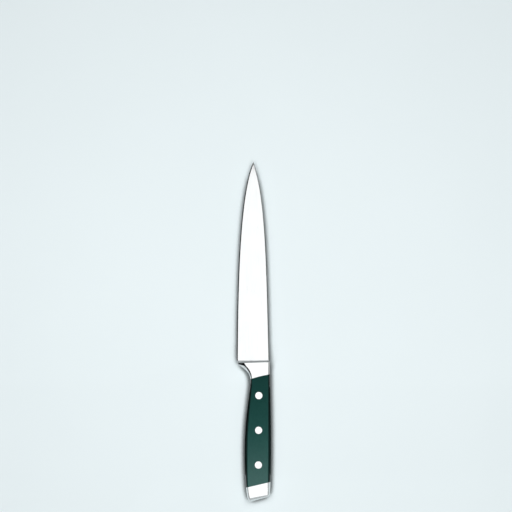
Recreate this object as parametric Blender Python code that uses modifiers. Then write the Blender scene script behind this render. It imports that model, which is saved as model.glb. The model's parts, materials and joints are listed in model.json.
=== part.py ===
"""A forged ham knife: blade, bolster and full tang in one piece, two riveted scales, a steel butt.

The knife lies on its right side with its left face up. X runs from the cutting edge (-X) to the
spine (+X), Y from the butt to the tip, and Z through the thickness. Every shape is drawn from the
place where the plunge line meets the spine, at mid thickness. An empty carries the pieces, so that
the knife rests on Z = 0 with the middle of its box over the world's origin. Sizes are in metres.
"""

import math
from collections import namedtuple

import bmesh
import bpy
from mathutils import Vector

# Blade outline. A pull says how far a curve's handle lies from the end that it belongs to.
BLADE_LENGTH = 0.1800
HEEL_DEPTH = 0.0292
TIP_DEPTH = 0.0144
SPINE_HEEL_PULL = (-0.0022, 0.0958)
SPINE_TIP_PULL = (0.0113, -0.0309)
EDGE_HEEL_PULL = (0.0004, 0.1100)
EDGE_TIP_PULL = (-0.0094, -0.0228)
HEEL_RADIUS = 0.0005

# Blade thickness: a full flat grind with a honed edge and broken spine corners. The shares of the
# width keep both in bounds where the blade runs out at its point.
SPINE_THICKNESS_HEEL = 0.0025
SPINE_THICKNESS_TIP = 0.0010
TIP_TAPER = 0.14
SHOULDER_THICKNESS = 0.00036
HONED_WIDTH = 0.0008
HONED_SHARE = 0.30
SPINE_CHAMFER = 0.0002
CHAMFER_SHARE = 0.15
POINT_WIDTH = 0.00012

# Handle lengths, along the spine side
BOLSTER_LENGTH = 0.0118
GRIP_LENGTH = 0.0973
CAP_LENGTH = 0.0129

# Handle slants, in degrees from square to the knife
PLUNGE_SLANT = 1.6
FRONT_JOINT_SLANT = 14.0
REAR_JOINT_SLANT = 13.2
BUTT_SLANT = 15.8
BUTT_SIDE_LEAN = 23.0

# Handle silhouette: depths go from the spine line towards the edge, rises go beyond the spine
NECK_DEPTH = 0.0170
NECK_SETBACK = 0.0052
NECK_FRONT_PULL = 0.0075
NECK_REAR_PULL = 0.0105
BELLY_DEPTH = 0.0222
BELLY_SETBACK = 0.0640
BELLY_FRONT_PULL = 0.0310
BELLY_REAR_PULL = 0.0100
BUTT_DEPTH = 0.0181
BUTT_SIDE_PULL = 0.0075
BUTT_RISE = 0.00085
BOLSTER_RISE = 0.00065
BACK_FRONT_PULL = (-0.0001, -0.0369)
BACK_REAR_PULL = (0.0018, 0.0596)
BUTT_EDGE_ROUND = 0.0019
BUTT_SPINE_ROUND = 0.0030
FRONT_CORNER_SETBACK = 0.0016

# Finger guard: its tip below the blade's heel, and the curve from there to the neck
GUARD_TIP_INSET = 0.00005
GUARD_TIP_DROP = 0.0024
GUARD_ROUND = 0.0006
GUARD_PULL = (0.0043, -0.0030)
GUARD_SHOULDER = 0.42

# Flat faces of the handle, inside their bevels
HANDLE_THICKNESS = 0.0152
BEVEL_DROP = 0.0036
GUARD_BAND = 0.0022
NECK_BEVEL = 0.0015
BELLY_BEVEL = 0.0027
BACK_BEVEL_FRONT = 0.00145
BUTT_EDGE_INSET = (0.0004, 0.0039)
BUTT_SPINE_INSET = (-0.0022, 0.0016)
FACE_CORNER_ROUND = 0.0006
BEVEL_BULGE = 0.12

# Ramp at the guard: a plane from the flat face's corner down to the heel, placed from the guard's tip
RAMP_TOP_REACH = 0.00655
RAMP_SHOULDER_STEP = (0.00855, -0.0022)
RAMP_SHOULDER_PULL = (0.0030, -0.0026)
NECK_FACE_PULL = 0.00525
RAMP_TOE_STEP = (0.00120, 0.0000)
RAMP_HEEL_STEP = (0.00115, 0.0007)
RAMP_FOOT_HEIGHT = 0.0024

# Plunge: the hollow step from the bolster's face down to the blade
PLUNGE_SETBACK = 0.0008
PLUNGE_RUN = 0.0020
PLUNGE_BULGE = -0.25
PLUNGE_SPINE_INSET = 0.0003
PLUNGE_FIRST_SHARE = 0.03
ROOT_LENGTH = 0.0040
ROOT_INSET = 0.0070
BURIED_SHARE = 0.85

# Joints
FRONT_JOINT_BOW = 0.00035
TANG_THICKNESS = 0.0030
FIT_GAP = 0.00025

# Rivets, each a tube half with a bore and a pin half that fills it
RIVET_NAMES = ("front_rivet", "middle_rivet", "rear_rivet")
FRONT_RIVET_SETBACK = 0.0191
REAR_RIVET_SETBACK = 0.0156
FRONT_RIVET_DEPTH = 0.0094
REAR_RIVET_DEPTH = 0.0098
HEAD_DIAMETER = 0.0067
HEAD_THICKNESS = 0.0020
HEAD_CHAMFER = 0.00012
SHANK_DIAMETER = 0.0050
BORE_DIAMETER = 0.0032
CLOSING_GAP = 0.0006

# Dowels that carry the butt plates
UPPER_DOWEL_DEPTH = 0.0050
LOWER_DOWEL_DEPTH = 0.0145
DOWEL_SETBACK = 0.0060
DOWEL_DIAMETER = 0.0030
DOWEL_COVER = 0.0024

# Mesh fineness: sections of the blade, and ribs of the handle in the order that they are laid
BLADE_STATIONS = 24
STATION_CROWDING = 1.5
HEEL_STEPS = 5
GUARD_TIP_RIBS = 3
RAMP_RIBS = 6
GUARD_RIBS = 8
NECK_RIBS = 10
BELLY_RIBS = 9
BUTT_EDGE_RIBS = 5
BUTT_SPINE_RIBS = 6
BACK_RIBS = 14
PLUNGE_RIBS = 8
RAMP_FRONT_RIBS = 3
BEVEL_STEPS = 5
JOINT_STEPS = 10
TURNED_STEPS = 28
BISECTIONS = 40
SHARP_ANGLE = 20.0
MERGE_DISTANCE = 0.00001
CUTTER_MARGIN = 0.0040

# Worked out from the sizes above
HALF_THICKNESS = HANDLE_THICKNESS / 2
HALF_TANG = TANG_THICKNESS / 2
HALF_SIDE_BAND = HALF_THICKNESS - BEVEL_DROP
FRONT_JOINT_Y = -BOLSTER_LENGTH
REAR_JOINT_Y = FRONT_JOINT_Y - GRIP_LENGTH
BUTT_Y = REAR_JOINT_Y - CAP_LENGTH
NECK_Y = FRONT_JOINT_Y - NECK_SETBACK
BELLY_Y = NECK_Y - BELLY_SETBACK
DOWEL_LENGTH = 2 * (HALF_THICKNESS - DOWEL_COVER)

# One rib of the handle: from the silhouette up over the bevel to the border of the flat face
Rib = namedtuple("Rib", "outer band inner crown bulge")


def slope(degrees):
    """Return the rise per length of a slant."""
    return math.tan(math.radians(degrees))


def mix(start, end, share):
    """Return the number or point that lies at this share of the way."""
    if isinstance(start, (int, float)):
        return start + (end - start) * share
    return tuple(a + (b - a) * share for a, b in zip(start, end))


def moved(point, step):
    """Return a point moved by a step."""
    return (point[0] + step[0], point[1] + step[1])


def towards(start, end, distance):
    """Return the point at this distance from start on the way to end."""
    return mix(start, end, distance / math.dist(start, end))


def cubic(points, share):
    """Return a point of a cubic curve with four control points."""
    weights = ((1 - share) ** 3, 3 * (1 - share) ** 2 * share, 3 * (1 - share) * share ** 2, share ** 3)
    return tuple(sum(w * point[axis] for w, point in zip(weights, points)) for axis in (0, 1))


def corner(start, apex, end, share):
    """Return a point of the rounding that leaves one line at start and joins the next at end."""
    return mix(mix(start, apex, share), mix(apex, end, share), share)


def shares(count, first=0):
    """Return evenly spaced shares from first/count up to 1."""
    return [index / count for index in range(first, count + 1)]


def across(curve, station):
    """Return X where a curve that runs along the blade passes this station."""
    low, high = 0.0, 1.0
    for _ in range(BISECTIONS):
        middle = (low + high) / 2
        if cubic(curve, middle)[1] < station:
            low = middle
        else:
            high = middle
    return cubic(curve, low)[0]


def spine_curve():
    """Return the control points of the blade's spine."""
    heel = (0.0, 0.0)
    tip = (-TIP_DEPTH, BLADE_LENGTH)
    return (heel, moved(heel, SPINE_HEEL_PULL), moved(tip, SPINE_TIP_PULL), tip)


def edge_curve():
    """Return the control points of the blade's cutting edge."""
    heel = (-HEEL_DEPTH, 0.0)
    tip = (-TIP_DEPTH, BLADE_LENGTH)
    return (heel, moved(heel, EDGE_HEEL_PULL), moved(tip, EDGE_TIP_PULL), tip)


def blade_widths(station):
    """Return X of the cutting edge and of the spine at a station of the blade."""
    station = max(station, 0.0)
    return across(edge_curve(), station), across(spine_curve(), station)


def spine_thickness(station, width):
    """Return the blade's thickness at its spine, which runs out at the tip."""
    share = min(max(station, 0.0) / BLADE_LENGTH, 1.0)
    return min(mix(SPINE_THICKNESS_HEEL, SPINE_THICKNESS_TIP, share), SHOULDER_THICKNESS + TIP_TAPER * width)


def blade_half_thickness(x, station):
    """Return half the blade's thickness at a place on its flat grind."""
    edge, spine = blade_widths(station)
    share = min(max((x - edge) / (spine - edge), 0.0), 1.0)
    return mix(SHOULDER_THICKNESS, spine_thickness(station, spine - edge), share) / 2


def blade_section(station, edge=None):
    """Return the closed outline of the blade at a station, with edge as the X of a pulled-in edge."""
    full_edge, spine = blade_widths(station)
    edge = full_edge if edge is None else edge
    width = spine - edge
    honed = min(HONED_WIDTH, HONED_SHARE * width)
    chamfer = min(SPINE_CHAMFER, CHAMFER_SHARE * width)
    half = blade_half_thickness(spine, station)
    shoulder = SHOULDER_THICKNESS / 2 * honed / HONED_WIDTH
    upper = [(edge + honed, shoulder), (spine - chamfer, half), (spine, half - chamfer)]
    lower = [(x, -z) for x, z in reversed(upper)]
    return [(x, station, z) for x, z in [(edge, 0.0)] + upper + lower]


def blade_sections():
    """Return the sections of the blade, from its root inside the bolster to just short of the tip."""
    heel = -HEEL_DEPTH
    sections = [blade_section(-ROOT_LENGTH, heel + ROOT_INSET)]
    for share in shares(HEEL_STEPS, first=1)[:-1]:
        angle = math.pi / 2 * share
        station = HEEL_RADIUS * (1 - math.cos(angle))
        sections.append(blade_section(station, heel + HEEL_RADIUS * (1 - math.sin(angle))))
    for share in shares(BLADE_STATIONS)[:-1]:
        station = mix(HEEL_RADIUS, BLADE_LENGTH, 1 - (1 - share) ** STATION_CROWDING)
        sections.append(blade_section(station))
    return sections


def plunge_y(x):
    """Return Y of the front border of the bolster's flat face."""
    return x * slope(PLUNGE_SLANT) - PLUNGE_SETBACK


def guard_tip():
    """Return the corner where the heel's side and the guard's curve would meet unrounded."""
    return (GUARD_TIP_INSET - HEEL_DEPTH, -GUARD_TIP_DROP)


def ramp_top():
    """Return the corner of the flat face where the ramp leaves the plunge."""
    x = guard_tip()[0] + RAMP_TOP_REACH
    return (x, plunge_y(x))


def ramp_shoulder():
    """Return the corner of the flat face where the ramp leaves the guard's bevel."""
    return moved(guard_tip(), RAMP_SHOULDER_STEP)


def ramp_toe():
    """Return the ramp's lowest corner, above the guard's tip."""
    return moved(guard_tip(), RAMP_TOE_STEP)


def ramp_heel():
    """Return the ramp's corner at the blade's heel."""
    return moved(guard_tip(), RAMP_HEEL_STEP)


def front_joint_y(x):
    """Return Y of the bowed joint between bolster and scales."""
    share = min(max(-x / NECK_DEPTH, 0.0), 1.0)
    return FRONT_JOINT_Y + x * slope(FRONT_JOINT_SLANT) + 4 * FRONT_JOINT_BOW * share * (1 - share)


def rear_joint_y(x):
    """Return Y of the joint between scales and butt plates."""
    return REAR_JOINT_Y + x * slope(REAR_JOINT_SLANT)


def ramp_height(point):
    """Return Z of the guard's ramp, a plane that leaves the flat face along its slanted corner."""
    top = Vector(ramp_top())
    along = (Vector(ramp_shoulder()) - top).normalized()
    away = Vector((along.y, -along.x))
    fall = (Vector(ramp_toe()) - top).dot(away)
    share = (Vector(point) - top).dot(away) / fall
    return mix(HALF_THICKNESS, RAMP_FOOT_HEIGHT, share)


def guard_curve():
    """Return the control points of the guard's silhouette, from its rounded tip to the neck."""
    neck = (-NECK_DEPTH, NECK_Y)
    start = towards(guard_tip(), moved(guard_tip(), GUARD_PULL), GUARD_ROUND)
    return (start, moved(start, GUARD_PULL), moved(neck, (0.0, NECK_FRONT_PULL)), neck)


def buried_band(point):
    """Return the half height of a rib's start that lies inside the blade."""
    return blade_half_thickness(point[0], point[1]) * BURIED_SHARE


def guard_band(share):
    """Return half the height of the guard's side, which swells from its tip to the neck."""
    return mix(GUARD_BAND / 2, HALF_SIDE_BAND, share * share * (3 - 2 * share))


def heel_ribs():
    """Return the ribs round the blunt heel, from the plunge to the guard's rounded tip."""
    tip = guard_tip()
    front_y = plunge_y(tip[0]) + PLUNGE_RUN
    round_start = moved(tip, (0.0, GUARD_ROUND))
    outers = [(tip[0] + GUARD_ROUND, front_y), (tip[0], front_y - GUARD_ROUND)]
    outers += [corner(round_start, tip, guard_curve()[0], share) for share in shares(GUARD_TIP_RIBS)[:-1]]
    ribs = []
    for index, outer in enumerate(outers):
        inner = mix(ramp_heel(), ramp_toe(), index / len(outers))
        band = buried_band(outer) if index == 0 else GUARD_BAND / 2
        ribs.append(Rib(outer, band, inner, ramp_height(inner), 0.0))
    return ribs


def guard_ribs():
    """Return the ribs along the finger guard: first below the ramp, then below the flat face."""
    ribs = []
    for share in shares(RAMP_RIBS):
        outer = cubic(guard_curve(), GUARD_SHOULDER * share)
        inner = mix(ramp_toe(), ramp_shoulder(), share)
        ribs.append(Rib(outer, guard_band(GUARD_SHOULDER * share), inner, ramp_height(inner), 0.0))
    neck = (-NECK_DEPTH + NECK_BEVEL, NECK_Y)
    shoulder_handle = moved(ramp_shoulder(), RAMP_SHOULDER_PULL)
    face = (ramp_shoulder(), shoulder_handle, moved(neck, (0.0, NECK_FACE_PULL)), neck)
    for share in shares(GUARD_RIBS, first=1):
        place = mix(GUARD_SHOULDER, 1.0, share)
        bulge = BEVEL_BULGE * min(1.0, 2 * share)
        outer = cubic(guard_curve(), place)
        ribs.append(Rib(outer, guard_band(place), cubic(face, share), HALF_THICKNESS, bulge))
    return ribs


def butt_corners():
    """Return the corners of the butt's silhouette at the edge side and at the spine side."""
    spine_corner = (BUTT_RISE, BUTT_Y)
    edge_corner = (-BUTT_DEPTH, BUTT_Y - (BUTT_DEPTH + BUTT_RISE) * slope(BUTT_SLANT))
    return edge_corner, spine_corner


def side_rib(outer, inner):
    """Return a rib of the bevel that runs round the grip and the butt."""
    return Rib(outer, HALF_SIDE_BAND, inner, HALF_THICKNESS, BEVEL_BULGE)


def belly_ribs():
    """Return the ribs along the edge side of the grip, from the neck to the butt."""
    neck = (-NECK_DEPTH, NECK_Y)
    belly = (-BELLY_DEPTH, BELLY_Y)
    edge_corner, _ = butt_corners()
    lean = math.radians(BUTT_SIDE_LEAN)
    side = (-math.sin(lean), math.cos(lean))
    end = moved(edge_corner, (side[0] * BUTT_EDGE_ROUND, side[1] * BUTT_EDGE_ROUND))
    end_handle = moved(end, (side[0] * BUTT_SIDE_PULL, side[1] * BUTT_SIDE_PULL))
    face_neck = moved(neck, (NECK_BEVEL, 0.0))
    face_belly = moved(belly, (BELLY_BEVEL, 0.0))
    face_end = moved(moved(edge_corner, BUTT_EDGE_INSET), (0.0, FACE_CORNER_ROUND))
    face_handle = moved(face_end, (end_handle[0] - end[0] + BUTT_EDGE_INSET[0], end_handle[1] - end[1]))
    front_pull = (0.0, -NECK_REAR_PULL)
    belly_pull = (0.0, BELLY_FRONT_PULL)
    rear_pull = (0.0, -BELLY_REAR_PULL)
    outer_front = (neck, moved(neck, front_pull), moved(belly, belly_pull), belly)
    inner_front = (face_neck, moved(face_neck, front_pull), moved(face_belly, belly_pull), face_belly)
    outer_rear = (belly, moved(belly, rear_pull), end_handle, end)
    inner_rear = (face_belly, moved(face_belly, rear_pull), face_handle, face_end)
    ribs = []
    for outer, inner, count in ((outer_front, inner_front, NECK_RIBS), (outer_rear, inner_rear, BELLY_RIBS)):
        for share in shares(count, first=1):
            ribs.append(side_rib(cubic(outer, share), cubic(inner, share)))
    return ribs


def butt_ribs():
    """Return the ribs round the butt: a tight corner, the slanted end and a wider corner."""
    edge_corner, spine_corner = butt_corners()
    lean = math.radians(BUTT_SIDE_LEAN)
    face_edge = moved(edge_corner, BUTT_EDGE_INSET)
    face_spine = moved(spine_corner, BUTT_SPINE_INSET)
    turns = []
    start = moved(edge_corner, (-math.sin(lean) * BUTT_EDGE_ROUND, math.cos(lean) * BUTT_EDGE_ROUND))
    end = towards(edge_corner, spine_corner, BUTT_EDGE_ROUND)
    face_start = moved(face_edge, (0.0, FACE_CORNER_ROUND))
    face_end = towards(face_edge, face_spine, FACE_CORNER_ROUND)
    places = shares(BUTT_EDGE_RIBS, first=1)
    turns.append(((start, edge_corner, end), (face_start, face_edge, face_end), places))
    start = towards(spine_corner, edge_corner, BUTT_SPINE_ROUND)
    end = moved(spine_corner, (0.0, BUTT_SPINE_ROUND))
    face_start = towards(face_spine, face_edge, FACE_CORNER_ROUND)
    face_end = moved(face_spine, (0.0, FACE_CORNER_ROUND))
    places = shares(BUTT_SPINE_RIBS)
    turns.append(((start, spine_corner, end), (face_start, face_spine, face_end), places))
    ribs = []
    for outer, inner, places in turns:
        for share in places:
            ribs.append(side_rib(corner(*outer, share), corner(*inner, share)))
    return ribs


def back_ribs():
    """Return the ribs along the spine side, from the butt to the corner at the plunge."""
    start = (BUTT_RISE, BUTT_Y + BUTT_SPINE_ROUND)
    end = (BOLSTER_RISE, PLUNGE_RUN - PLUNGE_SETBACK - FRONT_CORNER_SETBACK)
    outer = (start, moved(start, BACK_REAR_PULL), moved(end, BACK_FRONT_PULL), end)
    _, spine_corner = butt_corners()
    face_start = moved(moved(spine_corner, BUTT_SPINE_INSET), (0.0, FACE_CORNER_ROUND))
    face_x = BOLSTER_RISE - BACK_BEVEL_FRONT
    face_end = (face_x, plunge_y(face_x))
    ribs = []
    for share in shares(BACK_RIBS, first=1):
        point = cubic(outer, share)
        inner = mix(face_start, face_end, (point[1] - start[1]) / (end[1] - start[1]))
        ribs.append(side_rib(point, inner))
    return ribs


def front_ribs():
    """Return the ribs of the plunge, from the spine side to the top of the guard's ramp and heel."""
    face_x = BOLSTER_RISE - BACK_BEVEL_FRONT
    top = ramp_top()
    ribs = []
    for share in [PLUNGE_FIRST_SHARE] + shares(PLUNGE_RIBS, first=1):
        x = mix(face_x, top[0], share)
        outer_x = mix(-PLUNGE_SPINE_INSET, top[0], share)
        outer = (outer_x, plunge_y(outer_x) + PLUNGE_RUN)
        ribs.append(Rib(outer, buried_band(outer), (x, plunge_y(x)), HALF_THICKNESS, PLUNGE_BULGE))
    for share in shares(RAMP_FRONT_RIBS, first=1)[:-1]:
        inner = mix(top, ramp_heel(), share)
        outer = (inner[0], plunge_y(inner[0]) + PLUNGE_RUN)
        ribs.append(Rib(outer, buried_band(outer), inner, ramp_height(inner), PLUNGE_BULGE))
    return ribs


def handle_ribs():
    """Return all ribs of the handle's solid, counter-clockwise as seen on the left face."""
    return heel_ribs() + guard_ribs() + belly_ribs() + butt_ribs() + back_ribs() + front_ribs()


def nearest_rib(ribs, place):
    """Return the index of the rib whose inner end lies at this place."""
    return min(range(len(ribs)), key=lambda index: math.dist(ribs[index].inner, place))


def rib_point(rib, share):
    """Return the point of a rib at this share of the way up from the silhouette to the face."""
    swell = rib.bulge * math.sin(math.pi * share)
    x, y = mix(rib.outer, rib.inner, share - swell)
    return (x, y, mix(rib.band, rib.crown, share + swell))


def new_object(name, mesh, collection):
    """Return a new object that holds the mesh, in its collection."""
    obj = bpy.data.objects.new(name, mesh)
    collection.objects.link(obj)
    return obj


def lofted_mesh(name, rings, caps):
    """Return a mesh that joins rings of points, with caps as lists of (ring, point) places."""
    mesh = bpy.data.meshes.new(name)
    bm = bmesh.new()
    rows = [[bm.verts.new(point) for point in ring] for ring in rings]
    for row, following in zip(rows, rows[1:]):
        for index in range(len(row)):
            after = (index + 1) % len(row)
            bm.faces.new((row[index], row[after], following[after], following[index]))
    for cap in caps:
        bm.faces.new([rows[ring][point] for ring, point in cap])
    bmesh.ops.recalc_face_normals(bm, faces=bm.faces)
    bm.to_mesh(mesh)
    bm.free()
    return mesh


def handle_mesh():
    """Return the solid of bolster, scales and butt together, before it is parted."""
    ribs = handle_ribs()
    upper = [[rib_point(rib, share) for rib in ribs] for share in reversed(shares(BEVEL_STEPS))]
    lower = [[(x, y, -z) for x, y, z in ring] for ring in reversed(upper)]
    rings = upper + lower
    shoulder, top = [nearest_rib(ribs, place) for place in (ramp_shoulder(), ramp_top())]
    face = list(range(shoulder, top + 1))
    ramp = list(range(top, len(ribs))) + list(range(shoulder + 1))
    caps = [[(ring, point) for point in border] for ring in (0, len(rings) - 1) for border in (face, ramp)]
    return lofted_mesh("handle_block", rings, caps)


def point_section(last):
    """Return the section at the blade's point: the last one, shrunk to the width that is left there."""
    places = [x for x, _, _ in last]
    middle = (min(places) + max(places)) / 2
    shrink = POINT_WIDTH / (max(places) - min(places))
    return [(-TIP_DEPTH + shrink * (x - middle), BLADE_LENGTH, shrink * z) for x, _, z in last]


def blade_mesh():
    """Return the solid of the blade, closed at its root and at its point."""
    sections = blade_sections()
    rings = sections + [point_section(sections[-1])]
    caps = [[(ring, point) for point in range(len(rings[ring]))] for ring in (0, len(rings) - 1)]
    return lofted_mesh("blade_loft", rings, caps)


def prism(name, outline, low, high, collection):
    """Return a cutter with a flat outline, from Z = low to Z = high."""
    mesh = bpy.data.meshes.new(name)
    bm = bmesh.new()
    base = bm.faces.new([bm.verts.new((x, y, low)) for x, y in outline])
    grown = bmesh.ops.extrude_face_region(bm, geom=[base])["geom"]
    top = [item for item in grown if isinstance(item, bmesh.types.BMVert)]
    bmesh.ops.translate(bm, verts=top, vec=(0.0, 0.0, high - low))
    bmesh.ops.recalc_face_normals(bm, faces=bm.faces)
    bm.to_mesh(mesh)
    bm.free()
    return hidden(new_object(name, mesh, collection))


def hidden(obj):
    """Return a cutter, shown as wire and left out of renders."""
    obj.hide_render = True
    obj.display_type = "WIRE"
    return obj


def joint_line(joint, shift=0.0):
    """Return points along a joint, shifted along the knife, from the spine side to the edge side."""
    places = [mix(CUTTER_MARGIN, -BELLY_DEPTH - CUTTER_MARGIN, share) for share in shares(JOINT_STEPS)]
    return [(x, joint(x) + shift) for x in places]


def behind(joint):
    """Return the outline of everything behind a joint, out past the butt."""
    line = joint_line(joint)
    far = BUTT_Y - BELLY_DEPTH - CUTTER_MARGIN
    return line + [(line[-1][0], far), (line[0][0], far)]


def scale_outline():
    """Return the outline of a scale's length, a fit gap clear of the bolster and the butt plate."""
    return joint_line(front_joint_y, -FIT_GAP) + joint_line(rear_joint_y, FIT_GAP)[::-1]


def turned(name, profile, place, collection):
    """Return a turned solid whose profile of (radius, Z) runs from the top down its outer side."""
    mesh = bpy.data.meshes.new(name)
    points = [(radius, 0.0, z) for radius, z in profile]
    mesh.from_pydata(points, [(index, index + 1) for index in range(len(points) - 1)], [])
    obj = new_object(name, mesh, collection)
    obj.location = (place[0], place[1], 0.0)
    screw = obj.modifiers.new("turned", "SCREW")
    screw.axis = "Z"
    screw.steps = TURNED_STEPS
    screw.render_steps = TURNED_STEPS
    screw.use_merge_vertices = True
    screw.merge_threshold = MERGE_DISTANCE
    return obj


def hole_cutter(place, collection):
    """Return the cutter for one rivet: a through hole with a seat for a head at each end."""
    head = HEAD_DIAMETER / 2 + FIT_GAP
    shank = SHANK_DIAMETER / 2 + FIT_GAP
    seat = HALF_THICKNESS - HEAD_THICKNESS - FIT_GAP
    top = HALF_THICKNESS + CUTTER_MARGIN
    profile = [(0.0, top), (head, top), (head, seat), (shank, seat)]
    profile += [(radius, -z) for radius, z in reversed(profile)]
    return hidden(turned("rivet_hole", profile, place, collection))


def dowel_cutter(place, collection):
    """Return the cutter for one dowel: a hole that is blind in both butt plates."""
    radius = DOWEL_DIAMETER / 2 + FIT_GAP
    top = DOWEL_LENGTH / 2 + FIT_GAP
    profile = [(0.0, top), (radius, top), (radius, -top), (0.0, -top)]
    return hidden(turned("dowel_hole", profile, place, collection))


def finished(obj, material):
    """Apply a part's modifiers, so that the edges they cut are shaded sharp, and give its material."""
    graph = bpy.context.evaluated_depsgraph_get()
    mesh = bpy.data.meshes.new_from_object(obj.evaluated_get(graph))
    obj.modifiers.clear()
    obj.data = mesh
    mesh.name = obj.name
    mesh.shade_smooth()
    mesh.set_sharp_from_angle(angle=math.radians(SHARP_ANGLE))
    mesh.materials.clear()
    mesh.materials.append(material)
    return obj


def carved(name, mesh, steps, collection, material):
    """Return a part made from a mesh by Boolean steps, each an operation and its other solid."""
    obj = new_object(name, mesh.copy(), collection)
    for operation, tool in steps:
        cut = obj.modifiers.new(tool.name, "BOOLEAN")
        cut.operation = operation
        cut.object = tool
        cut.solver = "EXACT"
    return finished(obj, material)


def rivet_places():
    """Return the rivets' centres, evenly spaced from the front of the scales to the rear."""
    front = (-FRONT_RIVET_DEPTH, FRONT_JOINT_Y - FRONT_RIVET_SETBACK)
    rear = (-REAR_RIVET_DEPTH, REAR_JOINT_Y + REAR_RIVET_SETBACK)
    return [mix(front, rear, share) for share in shares(len(RIVET_NAMES) - 1)]


def dowel_places():
    """Return the centres of the dowels, set back from the joint of the butt plates."""
    depths = (UPPER_DOWEL_DEPTH, LOWER_DOWEL_DEPTH)
    return [(-depth, rear_joint_y(-depth) - DOWEL_SETBACK) for depth in depths]


def rivet_tube(name, place, collection, material):
    """Return the rivet half with its head on the left face and a bore from its other end."""
    head = HEAD_DIAMETER / 2
    under_head = HALF_THICKNESS - HEAD_THICKNESS
    end = -under_head + CLOSING_GAP
    profile = [
        (0.0, HALF_THICKNESS),
        (head - HEAD_CHAMFER, HALF_THICKNESS),
        (head, HALF_THICKNESS - HEAD_CHAMFER),
        (head, under_head),
        (SHANK_DIAMETER / 2, under_head),
        (SHANK_DIAMETER / 2, end),
        (BORE_DIAMETER / 2, end),
        (BORE_DIAMETER / 2, under_head),
        (0.0, under_head),
    ]
    return finished(turned(name, profile, place, collection), material)


def rivet_pin(name, place, collection, material):
    """Return the rivet half with its head on the right face and a pin that fills the bore."""
    head = HEAD_DIAMETER / 2
    pin = BORE_DIAMETER / 2 - FIT_GAP
    under_head = HALF_THICKNESS - HEAD_THICKNESS
    profile = [
        (0.0, under_head - CLOSING_GAP),
        (pin, under_head - CLOSING_GAP),
        (pin, -under_head),
        (head, -under_head),
        (head, -HALF_THICKNESS + HEAD_CHAMFER),
        (head - HEAD_CHAMFER, -HALF_THICKNESS),
        (0.0, -HALF_THICKNESS),
    ]
    return finished(turned(name, profile, place, collection), material)


def dowel(name, place, collection, material):
    """Return one hidden dowel of the butt plates."""
    radius = DOWEL_DIAMETER / 2
    end = DOWEL_LENGTH / 2
    profile = [
        (0.0, end),
        (radius - HEAD_CHAMFER, end),
        (radius, end - HEAD_CHAMFER),
        (radius, -end + HEAD_CHAMFER),
        (radius - HEAD_CHAMFER, -end),
        (0.0, -end),
    ]
    return finished(turned(name, profile, place, collection), material)


def surface(name, colour, metallic, roughness):
    """Return a material with one colour."""
    material = bpy.data.materials.new(name)
    material.use_nodes = True
    shader = material.node_tree.nodes["Principled BSDF"]
    shader.inputs["Base Color"].default_value = (*colour, 1.0)
    shader.inputs["Metallic"].default_value = metallic
    shader.inputs["Roughness"].default_value = roughness
    return material


def forging_steel():
    """Return the polished steel of blade, bolster and tang."""
    return surface("forged_steel", (0.80, 0.81, 0.81), 1.0, 0.22)


def scale_plastic():
    """Return the dark green-black plastic of the scales."""
    return surface("dark_scale", (0.006, 0.016, 0.014), 0.0, 0.38)


def fitting_steel():
    """Return the bright steel of rivets, dowels and butt plates."""
    return surface("fitting_steel", (0.84, 0.85, 0.85), 1.0, 0.25)


def make_forging(blocks, cutters, parts):
    """Make blade, bolster and tang: the handle's solid with a pocket each side, plus the blade."""
    pocket = behind(front_joint_y)
    depth = HALF_THICKNESS + CUTTER_MARGIN
    steps = [
        ("DIFFERENCE", prism("left_pocket", pocket, HALF_TANG, depth, cutters)),
        ("DIFFERENCE", prism("right_pocket", pocket, -depth, -HALF_TANG, cutters)),
    ]
    steps += [("DIFFERENCE", tool) for tool in blocks["rivet_holes"] + blocks["dowel_holes"]]
    steps.append(("UNION", hidden(new_object("blade_blank", blade_mesh(), cutters))))
    return carved("blade_forging", blocks["handle"], steps, parts, forging_steel())


def make_scale(side, sign, blocks, cutters, parts, material):
    """Make one handle scale, from the bolster to the butt plate and flush with both."""
    low, high = sorted((sign * (HALF_TANG + FIT_GAP), sign * (HALF_THICKNESS + CUTTER_MARGIN)))
    steps = [("INTERSECT", prism(f"{side}_scale_room", scale_outline(), low, high, cutters))]
    steps += [("DIFFERENCE", tool) for tool in blocks["rivet_holes"]]
    return carved(f"{side}_scale", blocks["handle"], steps, parts, material)


def make_butt_plate(side, sign, blocks, cutters, parts, material):
    """Make one butt plate, which sits on the tang behind its scale."""
    low, high = sorted((sign * (HALF_TANG + FIT_GAP), sign * (HALF_THICKNESS + CUTTER_MARGIN)))
    steps = [("INTERSECT", prism(f"{side}_plate_room", behind(rear_joint_y), low, high, cutters))]
    steps += [("DIFFERENCE", tool) for tool in blocks["dowel_holes"]]
    return carved(f"{side}_butt_plate", blocks["handle"], steps, parts, material)


def make_rivets(parts, material):
    """Make both halves of every rivet."""
    pieces = []
    for name, place in zip(RIVET_NAMES, rivet_places()):
        pieces.append(rivet_tube(f"{name}_tube", place, parts, material))
        pieces.append(rivet_pin(f"{name}_pin", place, parts, material))
    return pieces


def make_dowels(parts, material):
    """Make the hidden dowels."""
    names = ("upper_butt_dowel", "lower_butt_dowel")
    return [dowel(name, place, parts, material) for name, place in zip(names, dowel_places())]


def stand_on_origin(pieces, collection):
    """Carry all pieces on an empty that puts the middle of their box's underside on the origin."""
    bpy.context.view_layer.update()
    corners = [piece.matrix_world @ vertex.co for piece in pieces for vertex in piece.data.vertices]
    low = [min(point[axis] for point in corners) for axis in range(3)]
    high = [max(point[axis] for point in corners) for axis in range(3)]
    carrier = new_object("knife_carrier", None, collection)
    for piece in pieces:
        piece.parent = carrier
    carrier.location = (-(low[0] + high[0]) / 2, -(low[1] + high[1]) / 2, -low[2])


def collection_named(name):
    """Return a new collection in the scene."""
    collection = bpy.data.collections.new(name)
    bpy.context.scene.collection.children.link(collection)
    return collection


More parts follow.
